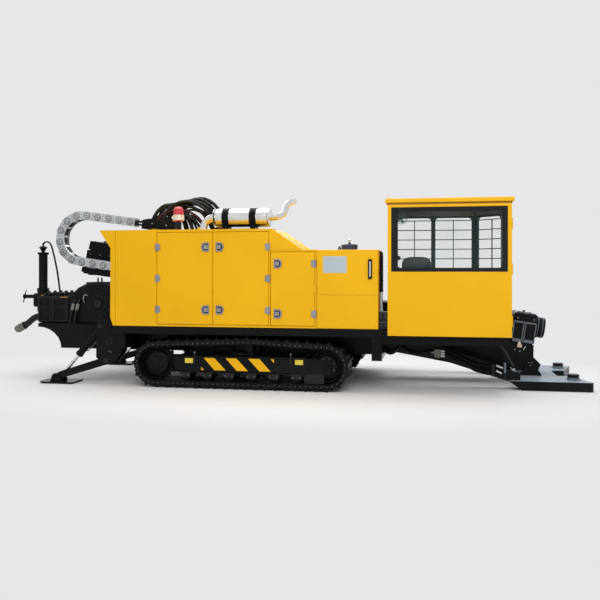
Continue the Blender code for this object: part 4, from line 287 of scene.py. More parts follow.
class Kit:
    """Small solids that share a finish and a body; finish makes them one piece."""

    def __init__(self, name, finish, body="root", bevel=0.0, place=None, slot=None):
        self.solid = bmesh.new()
        self.name = name
        self.material, self.slot = FINISHES[finish]
        self.slot = slot or self.slot
        self.body = body
        self.bevel = bevel
        self.place = place or Matrix.Identity(4)
        KITS.append(self)

    def box(self, low, high, turn=None):
        low, high = Vector(low), Vector(high)
        middle = Matrix.Translation((low + high) / 2)
        size = Matrix.Diagonal((*(high - low), 1.0))
        matrix = self.place @ middle @ (turn or Matrix.Identity(4)) @ size
        bmesh.ops.create_cube(self.solid, size=1.0, matrix=matrix)

    def rod(self, start, end, radius, end_radius=None, sides=24):
        start, end = Vector(start), Vector(end)
        along = end - start
        turn = along.to_track_quat("Z", "Y").to_matrix().to_4x4()
        matrix = self.place @ Matrix.Translation((start + end) / 2) @ turn
        second = radius if end_radius is None else end_radius
        bmesh.ops.create_cone(self.solid, cap_ends=True, segments=sides, radius1=radius, radius2=second,
                              depth=along.length, matrix=matrix)

    def pin(self, place, axis, length, radius, end_radius=None, sides=16):
        """A rod from a place along a main axis."""
        self.rod(place, Vector(place) + direction(axis) * length, radius, end_radius, sides)

    def loft(self, rings, closed=False):
        """Skin a list of rings that have the same number of points."""
        made = [[self.solid.verts.new(self.place @ Vector(point)) for point in ring] for ring in rings]
        count = len(made[0])
        pairs = list(zip(made, made[1:])) + ([(made[-1], made[0])] if closed else [])
        for first, second in pairs:
            for place in range(count):
                after = (place + 1) % count
                self.solid.faces.new((first[place], first[after], second[after], second[place]))
        if not closed:
            self.solid.faces.new(made[0][::-1])
            self.solid.faces.new(made[-1])

    def lathe(self, profile, centre, axis="Z", steps=32):
        """Turn a profile of (radius, height), both ends closed with flat faces."""
        turn = direction(axis).to_track_quat("Z", "Y").to_matrix()
        self.loft([[Vector(centre) + turn @ Vector((radius * across, radius * up, height))
                    for across, up in circle(steps)] for radius, height in profile])

    def prism(self, outline, low, high, axis="Y"):
        """A flat outline with thickness, as in the CAD source."""
        self.loft([[[(*point, level)[place] for place in FLAT_ORDER[axis]] for point in outline]
                   for level in (low, high)])

    def panel(self, low, high, radius, near, far, steps=4, axis="Y"):
        """A plate with round corners."""
        self.prism(rounded_rect(low, high, radius, steps), near, far, axis)

    def rim(self, outer, inner, near, far):
        """A flat ring between two outlines that have the same number of points."""
        self.loft([[(x, near, z), (x, far, z), (inner_x, far, inner_z), (inner_x, near, inner_z)]
                   for (x, z), (inner_x, inner_z) in zip(outer, inner)], closed=True)

    def round_rim(self, outer, inner, near, far, steps=6):
        """A flat ring between two rectangles, each given as low corner, high corner and corner radius."""
        self.rim(rounded_rect(*outer, steps), rounded_rect(*inner, steps), near, far)

    def tube(self, points, radius, sides=12):
        """A round bar along a smooth line of points."""
        points = [Vector(point) for point in points]
        normal = (points[1] - points[0]).orthogonal().normalized()
        rings = []
        for place, point in enumerate(points):
            along = (points[min(place + 1, len(points) - 1)] - points[max(place - 1, 0)]).normalized()
            normal = (normal - along * normal.dot(along)).normalized()
            across = along.cross(normal)
            rings.append([point + (normal * cosine + across * sine) * radius
                          for cosine, sine in circle(sides)])
        self.loft(rings)

    def hose(self, points, radius, per_span=6, sides=12):
        """A tube on a Catmull-Rom curve through the route's own points."""
        route = [Vector(point) for point in points]
        route = [2 * route[0] - route[1], *route, 2 * route[-1] - route[-2]]
        smooth = []
        for before, start, end, after in zip(route, route[1:], route[2:], route[3:]):
            for step in range(per_span):
                t = step / per_span
                smooth.append(0.5 * (2 * start + (end - before) * t
                                     + (2 * before - 5 * start + 4 * end - after) * t ** 2
                                     + (3 * start - before - 3 * end + after) * t ** 3))
        self.tube([*smooth, route[-2]], radius, sides)

    def ring(self, centre, axis, radius, thickness, steps=32, sides=8):
        """A torus."""
        turn = direction(axis).to_track_quat("Z", "Y").to_matrix()
        rings = []
        for across, up in circle(steps):
            spoke = Vector((across, up, 0))
            rings.append([Vector(centre) + turn @ (spoke * (radius + thickness * cosine)
                                                   + Vector((0, 0, thickness * sine)))
                          for cosine, sine in circle(sides)])
        self.loft(rings, closed=True)

    def bolt(self, place, axis, size):
        """Hexagon head on a washer; the head is size across and points along the axis."""
        place, axis = Vector(place), direction(axis)
        self.rod(place - axis * size * 0.1, place + axis * size * 0.12, size * 0.95, sides=16)
        self.rod(place, place + axis * size * 0.6, size * 0.58, sides=6)

    def bolt_grid(self, xs, ys, zs, axis, size):
        """Bolts at every crossing of the coordinates; each of the three is a number or several."""
        columns = [value if isinstance(value, (tuple, list)) else (value,) for value in (xs, ys, zs)]
        for place in itertools.product(*columns):
            self.bolt(place, axis, size)

    def side_bolts(self, xs, near, far, zs, size):
        """Bolts on two walls, pointing away from each other."""
        self.bolt_grid(xs, near, zs, "-Y", size)
        self.bolt_grid(xs, far, zs, "Y", size)

    def bolt_circle(self, centre, axis, radius, count, size, phase=0.0):
        """Bolts round a main axis."""
        x, y, z = centre
        main = axis[-1] if isinstance(axis, str) else "Y"
        for across, up in circle(count, phase):
            across, up = radius * across, radius * up
            place = {"X": (x, y + across, z + up), "Y": (x + across, y, z + up), "Z": (x + across, y + up, z)}
            self.bolt(place[main], axis, size)

    def finish(self):
        """Make the mesh one object that rides on its body."""
        mesh = bpy.data.meshes.new(self.name)
        bmesh.ops.recalc_face_normals(self.solid, faces=self.solid.faces)
        self.solid.to_mesh(mesh)
        self.solid.free()
        made = add_object(self.name, mesh)
        mesh.materials.append(self.material)
        if self.bevel:
            edge = made.modifiers.new("edges", "BEVEL")
            edge.width = self.bevel
            edge.segments = 2
            edge.limit_method = "ANGLE"
            edge.angle_limit = math.radians(35)
        mesh.shade_smooth()
        mesh.set_sharp_from_angle(angle=math.radians(40))
        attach(made, self.body)


def mast_kit(name, finish, body="mast", bevel=0.0, slot=None):
    """A kit whose coordinates are the mast's own."""
    return Kit(name, finish, body, bevel, MAST, slot)


def rounded_rect(low, high, radius, steps=5):
    """Outline of a rectangle with round corners."""
    outline = []
    corners = ((high[0] - radius, high[1] - radius, 0), (low[0] + radius, high[1] - radius, 1),
               (low[0] + radius, low[1] + radius, 2), (high[0] - radius, low[1] + radius, 3))
    for x, y, quarter in corners:
        for step in range(steps + 1):
            angle = math.pi / 2 * (quarter + step / steps)
            outline.append((x + radius * math.cos(angle), y + radius * math.sin(angle)))
    return outline


def finish_nodes():
    """Give the CAD's nodes their materials."""
    finishes = {node: finish for finish, nodes in NODE_FINISHES.items() for node in nodes}
    for name, node in NODES.items():
        finish = finishes.get(name, "glass" if name.startswith("cab_glass") else "black")
        node.data.materials.clear()
        node.data.materials.append(FINISHES[finish][0])


# Hood and tank

NEAR_FACE = -1.18        # of the hood and the tank
FAR_FACE = -0.27
ROOF_FACE = 2.0995       # just inside the hood's roof
LATCH_FACE = -1.188      # face of the latch bodies in the CAD
HINGE_AXIS_Y = -1.1883
FILLER_Y = -0.8
PIPE = (1.4245, -1.00)   # the return pipe's X and Y
LATCH_OUTLINE = ((-0.052, -0.06), (0.022, -0.06), (0.044, -0.046), (0.058, 0.0), (0.044, 0.046),
                 (0.022, 0.06), (-0.052, 0.06))
LATCH_POCKET = ((-0.04, -0.044), (0.015, -0.044), (0.031, -0.034), (0.04, 0.0), (0.031, 0.034),
                (0.015, 0.044), (-0.04, 0.044))
LATCH_PADDLE = ((-0.036, 0.0025), (0.006, 0.0045), (0.014, 0.0075), (0.02, 0.006))
LATCH_PLACES = (         # door, X, the side that the point faces, heights
    ("hood_door_1", -0.879, -1, (1.8698, 1.0402)),
    ("hood_door_2", -0.683, 1, (1.8698, 1.0402)),
    ("hood_door_3", 0.098, 1, (1.6472, 0.9978)),
)
HINGE_PLACES = (         # door, X of its axis, side of the door, heights
    ("hood_door_1", -1.568, 1, (1.0402, 1.455, 1.8698)),
    ("hood_door_2", -0.011, -1, (1.0402, 1.455, 1.8698)),
    ("hood_door_3", 0.597, -1, (0.9978, 1.6472)),
)
TANK_COLUMNS = (0.634, 0.874, 1.117, 1.367)
TANK_BOLTS = (           # height and columns of each row
    (1.796, TANK_COLUMNS), (1.528, TANK_COLUMNS[::3]), (1.278, TANK_COLUMNS),
    (1.218, TANK_COLUMNS), (1.02, TANK_COLUMNS[::3]), (0.842, TANK_COLUMNS),
)


def make_latches(door, x, side, heights):
    """Paddle latches: a rim, a dark pocket and a lifted paddle with its key barrel."""
    rims = Kit(door + "_latches", "latch", door, 0.0008)
    pockets = Kit(door + "_latch_pockets", "vinyl", door)
    key_x, rivet_x = x - side * 0.022, x - side * 0.03
    for z in heights:
        outer, inner = ([(x + side * across, z + up) for across, up in outline]
                        for outline in (LATCH_OUTLINE, LATCH_POCKET))
        rims.rim(outer, inner, LATCH_FACE - 0.005, NEAR_FACE + 0.001)
        pockets.prism(inner, LATCH_FACE - 0.0008, LATCH_FACE + 0.002)
        rings = []
        for across, out in LATCH_PADDLE:
            place, front, back = x + side * across, LATCH_FACE - out - 0.0015, LATCH_FACE - out + 0.0015
            rings.append([(place, front, z - 0.028), (place, front, z + 0.028), (place, back, z + 0.028),
                          (place, back, z - 0.028)])
        rims.loft(rings)
        rims.pin((key_x, LATCH_FACE - 0.007, z), "Y", 0.006, 0.009, sides=24)
        pockets.box((key_x - 0.001, LATCH_FACE - 0.0078, z - 0.006),
                    (key_x + 0.001, LATCH_FACE - 0.006, z + 0.006))
        for up in (-0.052, 0.052):
            rims.pin((rivet_x, LATCH_FACE - 0.0064, z + up), "Y", 0.0044, 0.0035, sides=12)


def make_hinges(door, axis_x, side, heights):
    """Stainless leaves on the door with their knuckles and screws."""
    leaves = Kit(door + "_hinges", "latch", door, 0.0006)
    near, far = axis_x + side * 0.006, axis_x + side * 0.06
    for z in heights:
        leaves.prism([(near, z - 0.056), (far, z - 0.036), (far, z + 0.036), (near, z + 0.056)],
                     NEAR_FACE - 0.0074, NEAR_FACE - 0.0004)
        for low, high in ((-0.0449, -0.016), (-0.0145, 0.0145), (0.016, 0.0449)):
            leaves.rod((axis_x, HINGE_AXIS_Y, z + low), (axis_x, HINGE_AXIS_Y, z + high), 0.0095, sides=20)
        for across, up in ((0.022, -0.032), (0.022, 0.032), (0.044, 0.0)):
            leaves.pin((axis_x + side * across, NEAR_FACE - 0.009, z + up), "Y", 0.003, 0.006, 0.0075)


def make_hood_trim():
    seams = Kit("hood_seams", "seam")
    for low_x, high_x, low, high in ((-2.1455, -2.1425, 0.82, 2.096), (0.607, 0.61, 0.82, 1.82),
                                     (0.01, 0.42, 1.8285, 1.8315), (0.612, 1.393, 1.2465, 1.2495)):
        seams.box((low_x, NEAR_FACE - 0.0006, low), (high_x, NEAR_FACE + 0.001, high))
    bolts = Kit("panel_bolts", "yellow")
    for z, places in TANK_BOLTS:
        for x in places:
            bolts.pin((x, NEAR_FACE - 0.0035, z), "Y", 0.0045, 0.006, 0.0085)
    for x in (-2.3, -2.19, -1.64, -0.78):
        for y in (-1.14, -0.31):
            bolts.rod((x, y, ROOF_FACE), (x, y, 2.104), 0.009, 0.007, sides=16)
    lip = Kit("roof_folds", "yellow", bevel=0.001)
    for near in (NEAR_FACE + 0.004, FAR_FACE - 0.016):
        lip.box((-2.36, near, ROOF_FACE), (0.02, near + 0.012, 2.1035))
    for x in (-2.144, -1.5, -0.781, -0.012):
        lip.box((x - 0.008, NEAR_FACE + 0.012, ROOF_FACE), (x + 0.008, FAR_FACE - 0.012, 2.1028))


def make_tank_fittings():
    Kit("data_plate", "plate", bevel=0.0005).panel((0.69, 1.528), (0.996, 1.743), 0.006, NEAR_FACE - 0.0022,
                                                   NEAR_FACE + 0.001, 3)
    border = Kit("data_plate_border", "steel")
    border.round_rim(((0.697, 1.535), (0.989, 1.736), 0.005), ((0.7005, 1.5385), (0.9855, 1.7325), 0.004),
                     NEAR_FACE - 0.003, NEAR_FACE - 0.002, 3)
    for x in (0.709, 0.977):
        for z in (1.547, 1.724):
            border.pin((x, NEAR_FACE - 0.0042, z), "Y", 0.0022, 0.0045, 0.006)
    gauge = Kit("level_gauge", "gloss", bevel=0.0015)
    gauge.round_rim(((1.269, 1.452), (1.319, 1.705), 0.01), ((1.284, 1.482), (1.304, 1.675), 0.006),
                    NEAR_FACE - 0.02, NEAR_FACE + 0.001, 4)
    gauge.panel((1.28, 1.478), (1.308, 1.679), 0.006, NEAR_FACE - 0.004, NEAR_FACE + 0.001)
    gauge.bolt_grid(1.294, NEAR_FACE - 0.02, (1.466, 1.691), "-Y", 0.01)
    sight = Kit("level_gauge_tube", "white")
    sight.pin((1.294, NEAR_FACE - 0.011, 1.48), "Z", 0.197, 0.0085, sides=20)
    cap = Kit("filler_knob", "zinc")
    cap.pin((0.99, FILLER_Y, 1.9332), "Z", 0.0198, 0.01)
    cap.lathe(((0.004, 1.95), (0.024, 1.953), (0.026, 1.962), (0.018, 1.972), (0.004, 1.974)),
              (0.99, FILLER_Y, 0))
    ribs = Kit("filler_grip", "navy")
    for across, up in circle(28):
        x, y = 0.99 + 0.104 * across, FILLER_Y + 0.104 * up
        ribs.pin((x, y, 1.848), "Z", 0.052, 0.0045, sides=8)
    ribs.lathe(((0.004, 1.8255), (0.02, 1.8255), (0.022, 1.855), (0.017, 1.862), (0.017, 1.868), (0.012, 1.884),
                (0.003, 1.886)), (0.857, FILLER_Y, 0))
    pipe = Kit("return_pipe", "track", bevel=0.0015)
    elbow = ((1.402, 1.785), (1.408, 1.787), (1.42, 1.78), (PIPE[0], 1.765), (PIPE[0], 1.7), (PIPE[0], 1.285))
    pipe.tube([(x, PIPE[1], z) for x, z in elbow], 0.0235, 20)
    lower = Kit("return_pipe_low", "plate", bevel=0.001)
    for kit, low, high, radius, sides in ((pipe, 1.42, 1.435, 0.027, 24), (pipe, 1.285, 1.305, 0.0265, 24),
                                          (lower, 1.02, 1.3, 0.0185, 24), (lower, 1.03, 1.055, 0.026, 6)):
        kit.rod((*PIPE, low), (*PIPE, high), radius, sides=sides)
    blocks = Kit("valve_block", "gloss", bevel=0.004)
    for low, high, near in ((0.8152, 0.9, -1.12), (0.906, 0.95, -1.1), (0.955, 1.03, -1.12)):
        blocks.box((1.402, near, low), (1.506, -0.92, high))
    lines = Kit("valve_block_plates", "dull", bevel=0.0005)
    for low, high in ((0.9005, 0.9055), (0.9505, 0.9545)):
        lines.box((1.404, -1.118, low), (1.504, -0.93, high))
    lines.bolt_grid((1.425, 1.484), -1.12, (0.975, 1.008, 0.86), "-Y", 0.009)


# Exhaust and beacon

MUFFLER = (-0.9, 2.268)         # Y and Z of its axis
BEACON = (-1.315, -1.0)


def make_exhaust_fittings():
    y, z = MUFFLER
    bands = Kit("muffler_rims", "steel", bevel=0.001)
    for start, end in ((-0.825, -0.831), (-0.074, -0.06)):
        bands.rod((start, y, z), (end, y, z), 0.1275, sides=48)
    for x in (-0.78, -0.115):
        bands.ring((x, y, z), "X", 0.1265, 0.0025, 64)
    dark = Kit("muffler_clamp", "gloss", bevel=0.001)
    dark.ring((-0.838, y, z), "X", 0.052, 0.008, 40)
    dark.box((-0.846, y - 0.01, z - 0.082), (-0.83, y + 0.01, z - 0.05))
    dark.pin((-0.838, y - 0.022, z - 0.07), "Y", 0.044, 0.006, sides=12)
    for near in (-0.985, -0.835):
        dark.box((-0.84, near, 2.1035), (0.01, near + 0.02, 2.112))
    straps = Kit("strap_bolts", "track", bevel=0.0005)
    for x in (-0.659, -0.285):
        straps.bolt_grid(x, (y - 0.15, y + 0.15), 2.109, "Z", 0.014)
        for reach in (-0.136, 0.136):
            straps.pin((x - 0.047, y + reach, 2.2), "X", 0.094, 0.006, sides=12)


def make_beacon_fittings():
    ribs = Kit("beacon_ribs", "red")
    x, y = BEACON
    for across, up in circle(20):
        foot, top = ((x + radius * across, y + radius * up) for radius in (0.0665, 0.0665 * 0.93))
        ribs.rod((*foot, 2.315), (*top, 2.392), 0.0035, sides=8)
    Kit("beacon_base", "cream").lathe(((0.0755, 2.237), (0.079, 2.241), (0.079, 2.262), (0.0765, 2.266),
                                       (0.0765, 2.296), (0.072, 2.311), (0.06, 2.3135)), (*BEACON, 0))
    Kit("beacon_post", "gloss").lathe(((0.046, 2.1035), (0.046, 2.11), (0.0405, 2.116), (0.0405, 2.232),
                                       (0.07, 2.2365)), (*BEACON, 0))


# Cab

CAB_FLOOR = ((1.57, -1.112), (2.97, -1.112), (2.97, -0.66), (2.63, -0.325), (1.57, -0.325))
CEILING = ((1.566, -1.118), (2.978, -1.118), (2.978, -0.66), (2.63, -0.316), (1.566, -0.316))
FAN_CENTRE = Vector((1.672, -0.88, 2.243))


def line_window(kit, sheet, opening, hole, near, middle, far):
    """Lining round a far window: a sheet on the wall and a reveal in the opening, which overlap a little."""
    start, end = hole
    kit.round_rim(((sheet[0], 0.78), (sheet[1], 2.362), 0.004), ((start, 1.3), (end, 2.274), 0.045),
                  near, middle)
    kit.round_rim(((opening[0], 1.2945), (opening[1], 2.2795), 0.002),
                  ((start + 0.001, 1.299), (end - 0.001, 2.275), 0.045), middle - 0.0003, far)


def make_cab_glazing():
    """Black border on the near pane and linings round the far windows."""
    border = Kit("near_window_border", "gloss", bevel=0.001)
    border.round_rim(((1.5585, 1.5445), (2.9815, 2.3555), 0.01), ((1.634, 1.594), (2.922, 2.3), 0.045),
                     -1.1645, -1.1612)
    lining = Kit("cab_lining", "lining", bevel=0.001)
    for sheet, start, end in (((1.5595, 2.0849), 1.6, 2.06), ((2.0851, 2.649), 2.11, 2.6)):
        line_window(lining, sheet, (start + 0.0005, end - 0.0005), (start + 0.003, end - 0.003),
                    -0.312, -0.3055, -0.2605)
    lining.box((1.5585, -1.12, 0.78), (1.564, -0.313, 2.362))
    lining.box((1.565, -1.1245, 0.78), (2.98, -1.1195, 1.54))
    along = Vector((0.38, -0.36, 0)).normalized()
    turn = Matrix((along, (-along.y, along.x, 0), (0, 0, 1))).transposed().to_4x4()
    corner_place = Matrix.Translation((2.65, -0.26, 0)) @ turn
    corner = Kit("cab_lining_corner", "lining", bevel=0.001, place=corner_place)
    line_window(corner, (0.032, 0.49), (0.0585, 0.464), (0.062, 0.46), -0.0525, -0.0455, -0.0008)
    Kit("cab_lining_band", "ceiling").box((1.6, -0.315, 2.3), (2.63, -0.3122, 2.356))
    band = Kit("cab_lining_band_corner", "ceiling", place=corner_place)
    band.box((0.045, -0.056, 2.3), (0.485, -0.0527, 2.356))
    band.box((0.466, -0.056, 1.31), (0.488, -0.0527, 2.299))
    Kit("cab_headliner", "ceiling", bevel=0.002).prism(CEILING, 2.357, 2.3645, "Z")
    mat = Kit("cab_mat", "vinyl", bevel=0.001)
    mat.prism(CAB_FLOOR, 0.7753, 0.781, "Z")
    for row in range(24):
        x = 1.6 + row * 0.056
        mat.box((x, -1.1, 0.7805), (x + 0.03, -0.67, 0.7835))


def make_cab_fan():
    """Small wall fan under the roof: cage, blades, motor and bracket."""
    cage = Kit("cab_fan_cage", "frost")
    for radius, back in ((0.081, 0.0), (0.078, 0.03), (0.055, -0.014), (0.03, -0.019), (0.078, -0.008)):
        cage.ring(FAN_CENTRE + Vector((0, back, 0)), "Y", radius, 0.0016, 40, 6)
    for across, up in circle(24):
        cage.tube([FAN_CENTRE + Vector((across * reach, back, up * reach)) for reach, back in
                   ((0.012, -0.02), (0.055, -0.014), (0.081, 0.0), (0.078, 0.03))], 0.0011, 6)
    blades = Kit("cab_fan_blades", "frost")
    for blade in range(5):
        corners = [(math.tau * blade / 5 + shift, back) for shift, back in
                   ((-0.3, 0.0), (0.35, 0.016), (0.35, 0.018), (-0.3, 0.002))]
        blades.loft([[FAN_CENTRE + Vector((reach * math.cos(angle), back, reach * math.sin(angle)))
                      for angle, back in corners] for reach in (0.012, 0.035, 0.058, 0.07)])
    blades.rod(FAN_CENTRE + Vector((0, -0.012, 0)), FAN_CENTRE + Vector((0, 0.055, 0)), 0.02, 0.026)
    blades.tube([FAN_CENTRE + Vector((0, 0.045, 0)), FAN_CENTRE + Vector((-0.03, 0.05, 0.0)),
                 Vector((1.59, -0.83, 2.243)), Vector((1.5645, -0.83, 2.243))], 0.007, 10)
    blades.pin((1.564, -0.83, 2.243), "X", 0.006, 0.026, sides=24)


SEAT_PARTS = (      # name, centre, half sizes, tilt about X in degrees, fill, the node that it replaces
    ("seat_cushion", (1.95, -0.715, 1.135), (0.225, 0.215, 0.058), 4.0, 0.85, ("seat",)),
    ("seat_back", (1.87, -0.925, 1.45), (0.19, 0.048, 0.287), -6.0, 0.85, ()),
)


def padded_block(name, centre, half, tilt, fill, replaced):
    """A crowned cushion: a subdivided block whose sides pull in, with a sewn channel round its panel."""
    solid = bmesh.new()
    bmesh.ops.create_cube(solid, size=2.0)
    bmesh.ops.subdivide_edges(solid, edges=solid.edges, cuts=15, use_grid_fill=True)
    thin = min(range(3), key=lambda axis: half[axis])
    wide = [axis for axis in range(3) if axis != thin]
    for vertex in solid.verts:
        point = vertex.co
        first, second = point[wide[0]], point[wide[1]]
        crown = (1 - first ** 4) * (1 - second ** 4)
        edge = max(abs(first), abs(second))
        seam = math.exp(-((edge - 0.72) / 0.045) ** 2) * 0.16
        quilt = 0.1 * math.exp(-((abs(second) - 0.26) / 0.05) ** 2) if edge < 0.7 else 0.0
        point[thin] *= (0.62 + 0.38 * crown) * (1 - seam - quilt)
        round_off = 1 - 0.09 * point[thin] ** 2 - 0.05 * (first * second) ** 4
        point[wide[0]] *= round_off
        point[wide[1]] *= round_off - 0.13 * first ** 4
    lean = Matrix.Rotation(math.radians(tilt), 4, "X")
    place = Matrix.Translation(centre) @ lean @ Matrix.Diagonal((*half, 1.0))
    bmesh.ops.transform(solid, matrix=place, verts=solid.verts)
    mesh = bpy.data.meshes.new(name)
    solid.to_mesh(mesh)
    solid.free()
    made = add_object(name, mesh)
    material, slot = FINISHES["vinyl"]
    mesh.materials.append(material)
    smooth = made.modifiers.new("smooth", "SUBSURF")
    smooth.levels = smooth.render_levels = 1
    mesh.shade_smooth()
    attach(made, "root")
    if replaced:
        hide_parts(*replaced)


def make_seat():
    """Operator's seat turned towards the mast: cushions on a shell, a suspension base and arm rests."""
    for row in SEAT_PARTS:
        padded_block(*row)
    shell = Kit("seat_shell", "vinyl", bevel=0.003)
    shell.panel((1.735, -0.925), (2.165, -0.505), 0.05, 1.062, 1.084, 5, "Z")
    shell.panel((1.715, 1.17), (2.055, 1.64), 0.06, -0.982, -0.962, 5)
    shell.tube([(1.885, -0.9, 1.07), (1.885, -0.955, 1.08), (1.885, -0.973, 1.15), (1.885, -0.975, 1.3)], 0.022)
    for row in range(9):
        high = 0.8 + row * 0.029
        shell.panel((1.8, -0.88), (2.1, -0.56), 0.03, high, high + 0.024, axis="Z")
    shell.panel((1.78, -0.895), (2.12, -0.545), 0.03, 0.7755, 0.797, axis="Z")
    shell.panel((1.79, -0.89), (2.11, -0.55), 0.03, 1.055, 1.068, axis="Z")
    for x in (1.7, 2.19):
        shell.tube([(x, -0.93, 1.13), (x, -0.94, 1.26), (x, -0.9, 1.31), (x, -0.7, 1.315)], 0.011, 10)
        shell.panel((x - 0.026, -0.9), (x + 0.026, -0.62), 0.02, 1.322, 1.342, axis="Z")


def make_cab_fittings():
    grip = Kit("cab_grip", "vinyl")
    grip.tube([(1.566, -0.9, 1.7), (1.6, -0.9, 1.705), (1.628, -0.9, 1.715)], 0.007, 10)
    grip.lathe(((0.004, -0.03), (0.02, -0.026), (0.026, 0.0), (0.019, 0.024), (0.004, 0.028)),
               (1.64, -0.9, 1.722), (0.4, 0, 1))
    console = Kit("console_controls", "vinyl", bevel=0.0005)
    for y in (-0.9, -0.57):
        console.lathe(((0.024, 1.3005), (0.04, 1.302), (0.03, 1.318), (0.034, 1.322), (0.024, 1.336),
                       (0.027, 1.34), (0.012, 1.356)), (2.435, y, 0))
    for column in range(4):
        for row in range(2):
            x, y = 2.49 + row * 0.05, -0.81 + column * 0.05
            console.pin((x, y, 1.3003), "Z", 0.0087, 0.01, 0.008)
    console.panel((2.37, -1.03), (2.47, -0.98), 0.008, 1.3003, 1.306, 3, "Z")
    screen = Kit("console_screen", "gloss", bevel=0.004)
    screen.box((2.455, -0.83, 1.345), (2.475, -0.64, 1.475), Matrix.Rotation(math.radians(-16), 4, "Y"))
    screen.rod((2.5, -0.735, 1.3003), (2.478, -0.735, 1.36), 0.01)
    roof = Kit("roof_trim", "yellow", bevel=0.001)
    roof.pin((1.518, -1.0, 2.4655), "Z", 0.0695, 0.006, 0.004, sides=12)
    roof.pin((1.518, -1.0, 2.4655), "Z", 0.0065, 0.014, sides=6)
    for x, far in ((1.56, -0.25), (2.27, -0.25), (2.98, -0.62)):
        roof.box((x - 0.01, -1.185, 2.4655), (x + 0.01, far, 2.4685))
    Kit("roof_shadow", "seam").box((1.509, -1.176, 2.3925), (3.036, -1.1705, 2.4098))


# Crawlers

STRIPES = (
    ((-0.917, 0.4), (-0.77, 0.4), (-0.615, 0.237), (-0.77, 0.237)),
    ((-0.615, 0.4), (-0.47, 0.4), (-0.313, 0.237), (-0.466, 0.237)),
    ((-0.31, 0.4), (-0.157, 0.4), (-0.008, 0.237), (-0.157, 0.237)),
    ((-0.953, 0.237), (-0.913, 0.237), (-0.953, 0.278)),
    ((-0.008, 0.4), (0.037, 0.4), (0.037, 0.352)),
)
AXLE_Z = 0.317
SPROCKET_X, IDLER_X = -1.58, 0.725
BELT_WHEELS = ((SPROCKET_X, AXLE_Z, 0.226), (IDLER_X, AXLE_Z, 0.226), (-0.317, 0.54, 0.055))
LINK_COUNT = 45
LINK_REACH = 0.056       # half a link's length
LINK_OUTLINE = ((-1.0, -0.013), (-0.8, -0.02), (-0.3, -0.014), (0.3, -0.014), (0.8, -0.02),
                (1.0, -0.013), (1.0, 0.013), (0.8, 0.02), (-0.8, 0.02), (-1.0, 0.013))
ROLLERS = [-1.18 + 0.302 * step for step in range(6)]
GREASE_POINTS = (-1.038, 0.263)


def belt_line(outward):
    """Points round the track at a height outside its inner face, as the outline of its wheels."""
    cloud = sorted((x + (radius + outward) * across, z + (radius + outward) * up)
                   for x, z, radius in BELT_WHEELS for across, up in circle(240))
    hull = []
    for points in (cloud, cloud[::-1]):
        chain = []
        for point in points:
            while len(chain) > 1 and ((chain[-1][0] - chain[-2][0]) * (point[1] - chain[-2][1])
                                      - (chain[-1][1] - chain[-2][1]) * (point[0] - chain[-2][0])) <= 0:
                chain.pop()
            chain.append(point)
        hull.extend(chain[:-1])
    return [Vector(point) for point in hull]


def belt_stations(outward, count):
    """Evenly spaced places on the track with their directions."""
    line = belt_line(outward)
    line.append(line[0])
    lengths = [(after - before).length for before, after in zip(line, line[1:])]
    total = sum(lengths)
    stations = []
    for step in range(count):
        left = step / count * total
        for before, after, length in zip(line, line[1:], lengths):
            if left <= length:
                stations.append((before + (after - before) * left / length, (after - before).normalized()))
                break
            left -= length
    return stations


